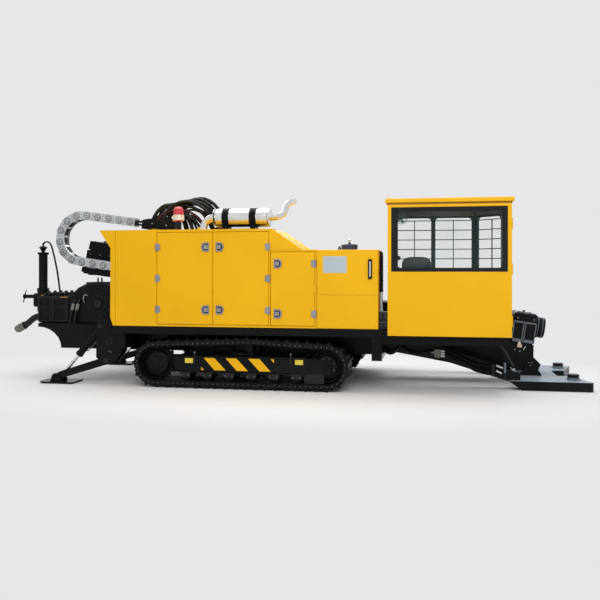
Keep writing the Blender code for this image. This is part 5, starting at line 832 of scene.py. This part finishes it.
def make_crawler_trim(side, name):
    """Stripes, flanges, roller brackets, bolts and track links of one crawler; side -1 is the near one."""
    outward = (0, side, 0)

    def span(low, high):
        return sorted((side * low, side * high))

    stripes = Kit("stripes_" + name, "yellow")
    for outline in STRIPES:
        stripes.prism(outline, *span(1.1296, 1.1308))
    tags = Kit("blank_tags_" + name, "lemon")
    for low, high in (((-1.178, 0.327), (-1.066, 0.391)), ((0.316, 0.335), (0.422, 0.398))):
        tags.panel(low, high, 0.004, *span(1.1296, 1.1312), 3)
    flanges = Kit("crawler_flanges_" + name, "gloss", bevel=0.0012)
    near, far = span(1.1, 1.146)
    for low, high in ((0.4115, 0.4195), (0.2065, 0.2135)):
        flanges.box((-1.336, near, low), (0.47, far, high))
    for x in ROLLERS:
        flanges.prism([(x - 0.075, 0.2085), (x - 0.062, 0.135), (x + 0.062, 0.135), (x + 0.075, 0.2085)],
                      *span(1.098, 1.126))
    near, far = span(1.13, 1.15)
    for x in GREASE_POINTS:
        flanges.pin((x, side * 1.143, 0.345), "Z", 0.117, 0.013)
        flanges.box((x - 0.024, near, 0.34), (x + 0.024, far, 0.365))
    flanges.round_rim(((0.44, 0.095), (0.7, 0.185), 0.012), ((0.462, 0.112), (0.678, 0.168), 0.008),
                      *span(1.13, 1.142), 4)
    flanges.panel((0.445, 0.1), (0.695, 0.212), 0.012, *span(1.1, 1.132))
    bolts = Kit("crawler_bolts_" + name, "dull")
    for x in ROLLERS:
        bolts.bolt_grid((x - 0.046, x + 0.046), side * 1.126, 0.166, outward, 0.01)
    for x in GREASE_POINTS:
        bolts.pin((x, side * 1.143, 0.462), "Z", 0.02, 0.015, 0.011)
    for x, radius, count in ((SPROCKET_X, 0.118, 12), (IDLER_X, 0.105, 8)):
        bolts.bolt_circle((x, side * 1.106, AXLE_Z), outward, radius, count, 0.009, 0.5)
    hubs = Kit("crawler_hubs_" + name, "cast")
    for x, rings in ((SPROCKET_X, (0.15, 0.09, 0.205)), (IDLER_X, (0.135, 0.08, 0.2))):
        for radius in rings:
            hubs.ring((x, side * 1.1035, AXLE_Z), "Y", radius, 0.0045, 48)
    hubs.lathe(((0.148, 0.0), (0.148, 0.01), (0.138, 0.016), (0.092, 0.016), (0.084, 0.024), (0.02, 0.026)),
               (SPROCKET_X, side * 1.0955, AXLE_Z), outward, 48)
    hubs.lathe(((0.13, 0.0), (0.13, 0.008), (0.078, 0.012), (0.07, 0.024), (0.02, 0.026)),
               (IDLER_X, side * 1.0945, AXLE_Z), outward, 48)
    links = Kit("track_links_" + name, "track", bevel=0.001)
    pins = Kit("track_pins_" + name, "dull")
    for place, along in belt_stations(0.026, LINK_COUNT):
        out = Vector((along.y, -along.x))
        links.prism([place + along * share * LINK_REACH + out * height for share, height in LINK_OUTLINE],
                    *span(1.1995, 1.203))
        for shift in (-0.6, 0.6):
            x, z = place + along * shift * LINK_REACH
            pins.rod((x, side * 1.2025, z), (x, side * 1.2055, z), 0.0075, 0.006, sides=10)


# Mast and drag chain, in the mast's frame

MAST = Matrix.Translation((3.4, 0.25, 0.22)) @ Matrix.Rotation(math.radians(8.0), 4, "Y")
MAST_WALL = 0.2495       # just inside the mast's side plates
CHAIN_NEAR, CHAIN_FAR = -0.455, -0.275
CHAIN_START, CHAIN_TURN = -5.92, -6.73      # X of the upper run's start and of the bend's centre
CHAIN_FIRST, CHAIN_PITCH, CHAIN_RUN, CHAIN_RADIUS = 0.073, 0.173, 0.81, 0.352
CHAIN_TOP, CHAIN_MIDDLE, CHAIN_LOW = 1.245, 0.893, 0.541


def chain_pin(link):
    """x and z of a pin of the parked drag chain."""
    distance = CHAIN_FIRST + link * CHAIN_PITCH
    if distance < CHAIN_RUN:
        return CHAIN_START - distance, CHAIN_TOP
    bend = math.pi * CHAIN_RADIUS
    if distance < CHAIN_RUN + bend:
        angle = math.pi / 2 + (distance - CHAIN_RUN) / CHAIN_RADIUS
        return CHAIN_TURN + CHAIN_RADIUS * math.cos(angle), CHAIN_MIDDLE + CHAIN_RADIUS * math.sin(angle)
    return CHAIN_TURN + distance - CHAIN_RUN - bend, CHAIN_LOW


def make_chain_trim():
    """Link plates, ring grooves and pin heads on both sides of the drag chain."""
    plates = mast_kit("chain_plates", "zinc", bevel=0.0012)
    rings = mast_kit("chain_rings", "zinc")
    grooves = mast_kit("chain_grooves", "dull")
    pins = mast_kit("chain_pins", "dull")
    for link in range(15):
        start, end = Vector(chain_pin(link)), Vector(chain_pin(link + 1))
        along = (end - start).normalized()
        out = Vector((-along.y, along.x))
        outline = []
        for centre, quarter in ((end, -1), (start, 1)):
            for step in range(9):
                angle = math.pi * (step / 8 - 0.5)
                outline.append(centre - quarter * (along * math.cos(angle) + out * math.sin(angle)) * 0.056)
        lift = 0.0045 if link % 2 else 0.002
        plates.prism(outline, CHAIN_NEAR - lift, CHAIN_NEAR + 0.001)
        plates.prism(outline, CHAIN_FAR - 0.001, CHAIN_FAR + lift)
        for shift in (-0.022, 0.022):
            x, z = (start + end) / 2 + out * shift
            pins.rod((x, CHAIN_NEAR - lift - 0.003, z), (x, CHAIN_NEAR, z), 0.006, sides=12)
    top = CHAIN_NEAR - 0.01
    for link in range(16):
        x, z = chain_pin(link)
        for radius in (0.0475, 0.033):
            grooves.ring((x, top, z), "Y", radius, 0.0036)
        rings.lathe(((0.03, 0.0), (0.027, 0.003), (0.012, 0.0035)), (x, top - 0.0005, z), "-Y", 24)
        rings.lathe(((0.044, 0.0), (0.04, 0.007), (0.012, 0.008)), (x, CHAIN_FAR, z), "Y", 24)
        pins.pin((x, top - 0.0065, z), "Y", 0.0055, 0.012, 0.01)
        pins.pin((x, CHAIN_FAR + 0.006, z), "Y", 0.005, 0.01)


def make_mast_trim():
    """Rack, wear strips, ribs and bolts of the mast."""
    rack = mast_kit("mast_rack", "steel")
    rack.box((-6.6, -0.035, 0.3942), (-0.86, 0.035, 0.412))
    for tooth in range(162):
        x = -6.58 + tooth * 0.0352
        rack.prism([(x, 0.411), (x + 0.006, 0.43), (x + 0.013, 0.43), (x + 0.019, 0.411)], -0.035, 0.035)
    for low in (-0.1502, 0.1475):
        rack.box((-6.66, low, 0.56), (-0.84, low + 0.0027, 0.603))
    ribs = mast_kit("mast_ribs", "gloss", bevel=0.002)
    for step in range(9):
        x = -6.35 + step * 0.62
        ribs.prism([(x, 0.367), (x + 0.012, 0.367), (x + 0.012, 0.6), (x, 0.6)], MAST_WALL, 0.268)
        ribs.box((x - 0.3, -0.249, 0.352), (x - 0.24, 0.249, 0.3645))
    for low, high in (((-6.7, MAST_WALL, 0.362), (-1.95, 0.264, 0.372)),
                      ((-6.6, -0.252, 0.385), (-1.95, -MAST_WALL, 0.395)),
                      ((-6.728, -0.226, 0.7265), (-6.2, 0.226, 0.73)),
                      ((-6.6, -0.05, 0.868), (-6.5, 0.05, 0.876))):
        ribs.box(low, high)
    ribs.pin((-6.55, 0.0, 0.868), "Z", 0.027, 0.03, 0.024, sides=24)
    bolts = mast_kit("mast_bolts", "dull")
    bolts.bolt_grid([-6.45 + step * 0.3 for step in range(19)], 0.25, 0.565, "Y", 0.011)
    bolts.side_bolts((-6.66, -6.5, -6.34), -0.231, 0.231, 0.68, 0.013)
    bolts.bolt_grid((-6.64, -6.48, -6.32), (-0.15, 0.15), 0.8725, "Z", 0.012)
    for x, z in ((-0.24, 0.215), (-0.17, 0.205), (-1.2, 0.24), (-1.5, 0.27)):
        bolts.bolt((x, -0.2505, z), "-Y", 0.012)
    for low in (-0.266, 0.251):
        bolts.pin((0.0, low, 0.0), "Y", 0.015, 0.03, sides=24)
    mast_kit("mast_lamp", "cream", bevel=0.005).prism(
        [(-0.222, 0.252), (-0.152, 0.262), (-0.158, 0.292), (-0.186, 0.334), (-0.203, 0.336), (-0.212, 0.322)],
        -0.285, -0.2505)
    mast_kit("mast_grease_line", "zinc", bevel=0.001).prism(
        [(-0.13, 0.225), (-0.12, 0.225), (-0.098, 0.285), (-0.108, 0.285)], -0.2525, -MAST_WALL)


VISE_TOP = 0.7355
DRILL_Z = 0.555          # the drill line's height over the mast's pivot
REAR_VISE_X = -0.4825
VISE_SLOTS = (           # low and high corners of the painted shade in the clamp's top slot openings, mirrored across the drill line
    ((-0.215, 0.095), (-0.19, 0.215)), ((-0.105, 0.09), (-0.08, 0.205)),
    ((-0.25, 0.19), (-0.18, 0.215)), ((-0.115, 0.18), (-0.045, 0.205)),
)


def make_vise_trim():
    """Rails, ribs and bolts of the front clamp with painted shade in each jaw slot and recess, and rings and
    bolts of the rear one.
    """
    ribs = mast_kit("vise_ribs", "slate", bevel=0.0015)
    # dark sheets of painted shade, in each jaw slot on the top and in the recesses between the ribs
    slot_shade = mast_kit("vise_slot_shade", "track", slot="soot")
    bolts = mast_kit("vise_bolts", "dull")
    for side in (-1, 1):
        near, far = sorted((side * 0.2495, side * 0.266))
        for low, high in ((0.33, 0.372), (0.596, 0.616)):
            ribs.box((-0.304, near, low), (-0.001, far, high))
        for x in (-0.304, -0.176, -0.15, -0.013):
            ribs.box((x, near, 0.33), (x + 0.012, far, 0.616))
        low, high = sorted((side * 0.249, side * 0.2503))
        for x in (-0.29, -0.136):
            slot_shade.box((x, low, 0.376), (x + 0.12, high, 0.592))
        for low, high in VISE_SLOTS:
            start, end = sorted((side * low[1], side * high[1]))
            slot_shade.prism([(low[0], start), (high[0], start), (high[0], end), (low[0], end)],
                        VISE_TOP - 0.001, VISE_TOP + 0.0012, "Z")
    slot_shade.prism([(-0.245, -0.06), (-0.17, -0.1), (-0.07, -0.075), (-0.045, 0.02), (-0.075, 0.085),
                 (-0.17, 0.1), (-0.24, 0.06)], VISE_TOP - 0.001, VISE_TOP + 0.0012, "Z")
    bolts.bolt_circle((0.1352, 0.0, DRILL_Z), "X", 0.122, 10, 0.011, 0.5)
    ribs.ring((0.04, 0, DRILL_Z), "X", 0.149, 0.006, 48)
    ribs.ring((0.1, 0, DRILL_Z), "X", 0.144, 0.005, 48)
    bolts.bolt_grid((-0.26, -0.04), (-0.225, 0.225), 0.7352, "Z", 0.013)
    bolts.side_bolts((-0.26, -0.04), -0.2493, 0.2493, 0.66, 0.012)
    for y in (0.06, 0.13):
        bolts.pin((-0.15, y, 0.7352), "Z", 0.0268, 0.014, sides=6)
    rear = mast_kit("vise_rear_trim", "dull", "vise_rear")
    for x in (-0.6, -0.365):
        rear.ring((x, 0, DRILL_Z), "X", 0.15, 0.005, 48)
    for side in (-1, 1):
        rear.ring((REAR_VISE_X, side * 0.228, DRILL_Z), "Y", 0.06, 0.005)
        rear.bolt_circle((REAR_VISE_X, side * 0.235, DRILL_Z), (0, side, 0), 0.042, 6, 0.009)


HEAD_MOTORS = ((-0.1, 0.9), (0.1, 0.9), (0.0, 0.76))      # Y and Z of each motor's axis
HOSE_ENDS = (-0.425, -0.389, -0.353, -0.317)                  # Y of the chain's hoses


def make_head_trim():
    """Bolts, ports and hoses of the power head, and the bracket over its arm."""
    ports = mast_kit("head_rings", "gloss", "carriage", 0.001)
    bolts = mast_kit("head_bolts", "dull", "carriage")
    hoses = mast_kit("head_hoses", "rubber", "carriage")
    bolts.bolt_circle((-4.3995, 0.0, 0.74), "X", 0.145, 10, 0.012)
    for y, z in HEAD_MOTORS:
        for x, radius in ((-5.1, 0.0755), (-4.97, 0.076), (-4.84, 0.079)):
            ports.ring((x, y, z), "X", radius, 0.004, 36)
        bolts.bolt_circle((-5.1205, y, z), "-X", 0.064, 6, 0.008, 0.5)
        bolts.bolt((-5.2405, y, z), "-X", 0.016)
        ports.pin((-5.17, y, z + 0.05), "Z", 0.035, 0.017, sides=6)
        hoses.hose([(-5.17, y, z + 0.08), (-5.18, y + 0.01, z + 0.16), (-5.12, y + 0.03, z + 0.24),
                    (-5.00, y + 0.03, 1.13 + y * 0.2), (-4.9, y * 0.6, 1.075)], 0.013, sides=10)
    bolts.bolt_grid((-5.54, -5.3, -4.95, -4.6), (-0.225, 0.225), 0.7202, "Z", 0.014)
    bolts.side_bolts((-5.54, -5.3, -4.95, -4.6), -0.2502, 0.2502, 0.66, 0.012)
    bolts.side_bolts((-4.79, -4.62, -4.45), -0.1902, 0.1902, (0.8, 0.93), 0.012)
    for near in (-0.196, 0.1895):
        ports.round_rim(((-4.78, 0.76), (-4.46, 0.97), 0.02), ((-4.75, 0.79), (-4.49, 0.94), 0.015), near,
                        near + 0.0065, 4)
    hump = mast_kit("hose_bracket", "cast", "carriage", 0.004)
    hump.prism([(-5.675, 1.2855), (-5.675, 1.335), (-5.62, 1.385), (-5.57, 1.395), (-5.4, 1.395), (-5.34, 1.37),
                (-5.31, 1.2855)], -0.434, -0.284)
    hump.prism([(-5.8, 1.24), (-5.8, 1.3), (-5.7, 1.33), (-5.28, 1.33), (-5.22, 1.29), (-5.22, 1.222)],
               -0.453, -0.4355)
    mast_kit("hose_bracket_edge", "ochre", "carriage").prism(
        [(-5.66, 1.166), (-5.62, 1.19), (-5.4, 1.19), (-5.36, 1.166)], -0.4572, -0.455)
    mast_kit("hose_bracket_bolts", "zinc", "carriage").bolt_grid((-5.64, -5.42), -0.453, 1.262, "-Y", 0.01)
    ends = mast_kit("arm_hoses", "rubber", "carriage")
    for y in HOSE_ENDS:
        ends.hose([(x, y, z) for x, z in ((-5.912, 1.262), (-5.86, 1.266), (-5.78, 1.272), (-5.7, 1.262),
                                          (-5.675, 1.26))], 0.0165, 5)
        ends.rod((-5.74, y, 1.267), (-5.68, y, 1.261), 0.0205, sides=6)


BUNDLE_ARCS = (
    ((-2.02, -0.13, 2.27), (-1.97, -0.13, 2.42), (-1.83, -0.12, 2.53), (-1.66, -0.09, 2.5),
     (-1.56, -0.05, 2.33), (-1.52, 0.02, 2.1), (-1.5, 0.08, 1.93)),
    ((-1.86, -0.18, 2.25), (-1.75, -0.18, 2.48), (-1.5, -0.16, 2.58), (-1.25, -0.1, 2.48), (-1.12, 0.0, 2.25),
     (-1.08, 0.1, 2.05), (-1.1, 0.15, 1.9)),
    ((-1.74, -0.08, 2.23), (-1.62, -0.08, 2.47), (-1.4, -0.05, 2.62), (-1.2, 0.02, 2.54), (-1.06, 0.12, 2.3),
     (-1.02, 0.2, 2.05), (-1.03, 0.25, 1.88)),
)
BUNDLE = {      # finish: arc, shift of X, Y and Z, and radius of each extra hose
    "rubber": (
        (0, -0.045, 0.055, -0.03, 0.022), (0, 0.1, -0.03, -0.055, 0.02), (1, -0.06, 0.05, -0.05, 0.022),
        (1, -0.16, 0.03, -0.17, 0.022), (2, -0.05, 0.045, -0.075, 0.02), (2, -0.015, 0.12, -0.04, 0.02),
        (2, -0.17, 0.02, -0.23, 0.02), (0, 0.15, 0.06, -0.11, 0.018),
    ),
    "maroon": (
        (0, 0.03, 0.12, -0.05, 0.016), (1, -0.105, 0.000, -0.12, 0.018), (1, 0.000, 0.11, -0.075, 0.016),
        (2, -0.1, 0.09, -0.15, 0.017),
    ),
}


def make_bundle():
    """The bundle's extra hoses, which keep the ends of their arc, and a lug on the hood."""
    for finish, hoses in BUNDLE.items():
        kit = Kit("bundle_" + finish, finish, "carriage")
        for arc, shift_x, shift_y, shift_z, radius in hoses:
            last = len(BUNDLE_ARCS[arc]) - 1
            kit.hose([(x + shift_x, y + shift_y, z + shift_z * min(1.0, place * 0.8, (last - place) * 0.8))
                      for place, (x, y, z) in enumerate(BUNDLE_ARCS[arc])], radius)
    Kit("hood_lug", "yellow", bevel=0.002).prism(
        [(-1.25, 2.1002), (-1.095, 2.1002), (-1.095, 2.225), (-1.12, 2.225), (-1.245, 2.12)], -0.506, -0.494)


# Pump, front, stands and hidden sides

PUMP_NEAR, PUMP_FAR = -0.6602, -0.1398      # faces of the pump's fluid end
CRANK_COVER = (-2.62, 1.08)                 # X and Z of its centre


def make_pump_fittings():
    bolts, covers = Kit("pump_bolts", "gloss"), Kit("pump_covers", "gloss", bevel=0.002)
    hoses, light = Kit("pump_hoses", "rubber"), Kit("pump_hose_ends", "khaki")
    for x in (-3.46, -3.28):
        for y in (-0.57, -0.4, -0.23):
            bolts.pin((x, y, 1.2352), "Z", 0.0268, 0.026, 0.022, sides=6)
            covers.ring((x, y, 1.222), "Z", 0.055, 0.004)
    x, z = CRANK_COVER
    bolts.bolt_circle((x, -0.7102, z), "-Y", 0.178, 14, 0.012)
    covers.ring((x, -0.711, z), "Y", 0.12, 0.006, 48)
    covers.lathe(((0.06, 0.0), (0.055, 0.016), (0.02, 0.018)), (x, -0.71, z), "-Y")
    for x in (-3.565, -3.345, -3.125):
        covers.box((x - 0.012, -0.674, 0.815), (x + 0.012, -0.659, 1.185))
    for z in (0.83, 1.02, 1.165):
        covers.box((-3.575, -0.67, z - 0.01), (-3.105, -0.659, z + 0.01))
    bolts.side_bolts((-3.53, -3.38, -3.31, -3.16), PUMP_NEAR, PUMP_FAR, (0.87, 0.98, 1.06, 1.13), 0.012)
    bolts.bolt_grid((-3.5, -3.37, -3.2, -3.14), (-0.62, -0.485, -0.315, -0.18), 1.1902, "Z", 0.011)
    for z in (1.245, 1.33, 1.9):
        covers.ring((-3.652, -0.4, z), "Z", 0.064, 0.005, 40)
    bolts.side_bolts((-3.45, -3.15, -2.85, -2.55), -0.7502, -0.0498, 0.765, 0.011)
    for top, foot in ((-2.993, -3.045), (-2.923, -2.975)):
        hoses.hose([(top + 0.03, -0.69, 1.135), (top + 0.015, -0.722, 1.12), (top, -0.732, 1.06),
                    (top - 0.03, -0.735, 0.93), (foot, -0.735, 0.798)], 0.019, sides=14)
        light.rod((top + 0.006, -0.7315, 1.085), (top - 0.016, -0.7335, 0.995), 0.0225, sides=20)
        light.ring((top + 0.002, -0.732, 1.07), (0.2, 0, 1), 0.0225, 0.003, 20)
    light.hose([(-2.84, -0.7, 1.1), (-2.842, -0.722, 1.13), (-2.836, -0.724, 1.185),
                (-2.812, -0.722, 1.213), (-2.785, -0.712, 1.196)], 0.009)
    marks = Kit("pump_marks", "ochre")
    marks.lathe(((0.038, 0.0), (0.034, 0.007), (0.01, 0.009)), (-3.61, -0.5002, 1.16), "-Y")
    marks.box((-3.225, -0.6765, 1.166), (-3.112, -0.6745, 1.18))
    union = Kit("discharge_union", "khaki", bevel=0.001)
    start, end = Vector((-3.955, -0.4, 0.7347)), Vector((-4.078, -0.4, 0.6754))
    for low, high, radius in ((0.02, 0.18, 0.0615), (0.24, 0.38, 0.0585), (0.44, 0.66, 0.06),
                              (0.72, 0.96, 0.056)):
        union.rod(start.lerp(end, low), start.lerp(end, high), radius, radius - 0.0015, 32)
    for lug in range(3):
        angle = math.tau * lug / 3 + 0.5
        across = Vector((0, math.cos(angle), math.sin(angle))) * 0.062
        union.rod(start.lerp(end, 0.46) + across, start.lerp(end, 0.64) + across, 0.011, 0.009, 8)


STAKES = ((3.9, -0.33), (3.9, 0.83))        # X and Y on the anchor plate


def make_front_fittings():
    """Hoses, junction plate and clamp under the cab, and caps and bolts of the anchor."""
    hoses, light = Kit("front_hoses_fine", "rubber"), Kit("front_hose_ends", "white")
    hoses.hose([(2.905, -0.6, 0.64), (2.932, -0.602, 0.587), (3.003, -0.602, 0.491), (3.059, -0.598, 0.383),
                (3.096, -0.56, 0.318), (3.11, -0.496, 0.285)], 0.021, 8, 16)
    for shift, sag in ((0.0, 0.0), (0.03, 0.018), (0.058, -0.012)):
        hoses.hose([(1.33, -0.6 + shift, 0.64), (1.385, -0.615 + shift, 0.54 + sag),
                    (1.487, -0.62 + shift, 0.455 + sag), (1.58, -0.62 + shift, 0.475 + sag),
                    (1.65, -0.62 + shift, 0.56), (1.7, -0.615 + shift, 0.64)], 0.013, 7)
        hoses.hose([(1.64, -0.565 - shift, 0.64), (1.673, -0.57 - shift, 0.54),
                    (1.77, -0.575 - shift, 0.47 + sag * 0.6), (1.9, -0.575 - shift, 0.452 + sag * 0.6),
                    (2.02, -0.57 - shift * 0.5, 0.462 + sag), (2.094, -0.56 - shift * 0.5, 0.46 + sag)],
                   0.013, 7)
    for z in (0.46, 0.478, 0.448):
        light.pin((2.054, -0.575, z), "X", 0.042, 0.015, sides=6)
    for z in (0.495, 0.462, 0.428):
        light.rod((2.183, -0.585, z), (2.232, -0.585, z - 0.008), 0.014, sides=6)
    for low, high_x, high in ((0.318, 2.975, 0.285), (0.249, 2.96, 0.217)):
        light.rod((2.893, -0.604, low), (high_x, -0.604, high), 0.011, sides=12)
    Kit("junction_plate", "khaki", bevel=0.001).box((2.098, -0.6055, 0.404), (2.18, -0.5995, 0.513))
    Kit("front_clamp", "slate", bevel=0.002).box((2.99, -0.618, 0.228), (3.016, -0.598, 0.358))
    caps, rims = Kit("stake_caps", "gloss", bevel=0.001), Kit("stake_rims", "slate")
    bolts = Kit("anchor_bolts", "dull")
    for x, y in STAKES:
        rims.lathe(((0.079, 0.0), (0.08, 0.004), (0.08, 0.024), (0.078, 0.028)), (x, y, 0.1205), "Z", 40)
        caps.lathe(((0.07, 0.0), (0.066, 0.006), (0.03, 0.008)), (x, y, 0.1898), "Z", 40)
        caps.ring((x, y, 0.182), "Z", 0.0765, 0.004, 40)
        bolts.bolt_circle((x, y, 0.1202), "Z", 0.096, 8, 0.008)


STAND_X = -2.27         # of the stand's lower plate
STAND_RAM = Vector((-2.4, 0.0, 0.8))      # the ram's upper pin
RAM_ALONG, RAM_OUT = Vector((-0.664, 0.0, -0.748)), Vector((0.748, 0.0, -0.664))


def make_stand_fittings(side, name):
    """Pin heads, holes and hose lines of one rear stand."""
    face, outward = side * 1.1055, (0, side, 0)
    pins, dots = Kit("stand_pins_" + name, "gloss"), Kit("stand_dots_" + name, "maroon")
    for x, z, radius in ((-2.311, 0.33, 0.04), (-2.4, 0.8, 0.036)):
        pins.lathe(((radius, 0.0), (radius * 0.92, 0.01), (radius * 0.4, 0.013)), (x, face, z), outward)
        pins.bolt((x + radius * 1.5, face, z), outward, 0.01)
    pins.ring((STAND_X, face, 0.6), "Y", 0.046, 0.006, 40)
    pins.bolt_circle((STAND_X, face, 0.6), outward, 0.033, 6, 0.007)
    for x, z in ((-2.4, 0.87), (STAND_X, 0.372)):
        dots.lathe(((0.012, 0.0), (0.01, 0.004), (0.004, 0.005)), (x, face, z), outward, 16)
    Kit("stand_handle_" + name, "dull").hose(
        [(-2.285, face, 0.455), (-2.262, face + side * 0.006, 0.458), (-2.235, face, 0.44)], 0.005, 5, 10)
    base = STAND_RAM + Vector(outward)
    route = ((0.1, 0.04), (0.13, 0.066), (0.25, 0.068), (0.4, 0.066), (0.43, 0.045))
    Kit("stand_hose_" + name, "dull", "leg_barrel_" + name).hose(
        [base + RAM_ALONG * step + RAM_OUT * lift for step, lift in route], 0.007, 6, 10)


def make_hidden_sides():
    """Louvres, seams and bolts of the faces that the photograph doesn't show."""
    louvres, seams, bolts = Kit("far_louvres", "track"), Kit("far_seams", "seam"), Kit("far_bolts", "dull")
    for low, high in ((-1.9, -1.35), (-0.95, -0.4)):
        louvres.round_rim(((low, 1.2), (high, 1.86), 0.02), ((low + 0.02, 1.22), (high - 0.02, 1.84), 0.01),
                          FAR_FACE - 0.001, FAR_FACE + 0.008, 4)
        for step in range(17):
            z = 1.235 + step * 0.036
            louvres.prism([(FAR_FACE - 0.001, z), (FAR_FACE - 0.001, z + 0.026),
                           (FAR_FACE + 0.012, z + 0.006)], low + 0.02, high - 0.02, "X")
    for x, top in ((-1.15, 2.09), (-0.15, 2.09), (0.607, 1.8)):
        seams.box((x - 0.002, FAR_FACE - 0.001, 0.83), (x + 0.002, FAR_FACE + 0.0006, top))
    bolts.bolt_grid((-2.1, -1.7, -1.2, -1.1, -0.6, -0.2), FAR_FACE, (0.86, 2.06), "Y", 0.01)
    bolts.bolt_grid((0.2, 0.56), FAR_FACE, (0.86, 1.76), "Y", 0.01)
    bolts.bolt_grid((0.66, 0.9, 1.14, 1.35), FAR_FACE, (0.87, 1.78), "Y", 0.01)
    cab = Kit("cab_bolts", "yellow")
    cab.bolt_grid((1.6, 2.00, 2.4), -0.26, (0.8, 1.2, 2.36), "Y", 0.009)
    cab.bolt_grid(1.513, (-1.05, -0.75, -0.45), (0.8, 1.4, 2.3), "-X", 0.009)


# Studio

def make_world():
    """Even light, with the backdrop's grey where the camera sees it, also by reflection or through glass."""
    world = bpy.data.worlds.new("studio")
    bpy.context.scene.world = world
    world.use_nodes = True
    tree = world.node_tree
    light = tree.nodes["Background"]
    give(light, {"Color": (1.0, 1.0, 1.0), "Strength": AMBIENT})
    seen = add_node(tree, "ShaderNodeBackground", {"Color": BACKDROP})
    path = add_node(tree, "ShaderNodeLightPath")
    seen_by = path.outputs["Is Camera Ray"]
    for kind in ("Is Glossy Ray", "Is Transmission Ray"):
        either = add_node(tree, "ShaderNodeMath", {0: seen_by, 1: path.outputs[kind]}, operation="MAXIMUM")
        seen_by = either.outputs[0]
    mix = add_node(tree, "ShaderNodeMixShader", {"Fac": seen_by, 1: light.outputs[0], 2: seen.outputs[0]})
    give(tree.nodes["World Output"], {"Surface": mix.outputs[0]})


def make_floor():
    """Pale floor that takes the soft shadow and fades into the backdrop away from the machine."""
    mesh = bpy.data.meshes.new("floor")
    half = FLOOR_SIZE / 2
    corners = [(-half, -half, 0), (half, -half, 0), (half, half, 0), (-half, half, 0)]
    mesh.from_pydata(corners, [], [(0, 1, 2, 3)])
    floor = add_object("floor", mesh)
    floor.location.z = FLOOR_Z
    material, tree, shader = new_material("floor_pale")
    kind = "ShaderNodeVectorMath"
    oval = add_node(tree, kind, {0: coordinates(tree), 1: FLOOR_SQUEEZE}, operation="MULTIPLY")
    length = add_node(tree, kind, {0: oval.outputs["Vector"]}, operation="LENGTH")
    give(shader, {"Base Color": FLOOR_COLOUR, "Roughness": 0.9, "Specular IOR Level": 0.1,
                  "Alpha": spread(tree, length.outputs["Value"], *FLOOR_FADE, 1.0, 0.0)})
    mesh.materials.append(material)


def area_light(name, place, target, size, power):
    data = bpy.data.lights.new(name, "AREA")
    data.shape = "RECTANGLE"
    data.size, data.size_y = size
    data.energy = power
    lamp = add_object(name, data)
    lamp.location = place
    lamp.rotation_euler = (Vector(target) - Vector(place)).to_track_quat("-Z", "Y").to_euler()


def make_camera():
    data = bpy.data.cameras.new("camera")
    data.lens = CAMERA_LENS
    data.sensor_width = 36.0
    data.shift_y = CAMERA_SHIFT
    camera = add_object("camera", data)
    camera.location = CAMERA_PLACE
    camera.rotation_euler = (math.radians(90.0), 0.0, CAMERA_YAW)
    bpy.context.scene.camera = camera
    bpy.context.scene.view_settings.view_transform = "Standard"


make_camera()
make_world()
make_floor()
for row in LIGHTS:
    area_light(*row)
finish_nodes()
ONCE = ((),)
SIDES = ((-1, "right"), (1, "left"))
STEPS = (
    (make_latches, LATCH_PLACES), (make_hinges, HINGE_PLACES), (make_hood_trim, ONCE),
    (make_tank_fittings, ONCE), (make_exhaust_fittings, ONCE), (make_beacon_fittings, ONCE),
    (make_cab_glazing, ONCE), (make_cab_fan, ONCE), (make_seat, ONCE), (make_cab_fittings, ONCE),
    (make_crawler_trim, SIDES), (make_chain_trim, ONCE), (make_mast_trim, ONCE), (make_vise_trim, ONCE),
    (make_head_trim, ONCE), (make_bundle, ONCE), (make_pump_fittings, ONCE), (make_front_fittings, ONCE),
    (make_stand_fittings, SIDES), (make_hidden_sides, ONCE),
)
for make, rows in STEPS:
    for row in rows:
        make(*row)
        while KITS:
            KITS.pop(0).finish()
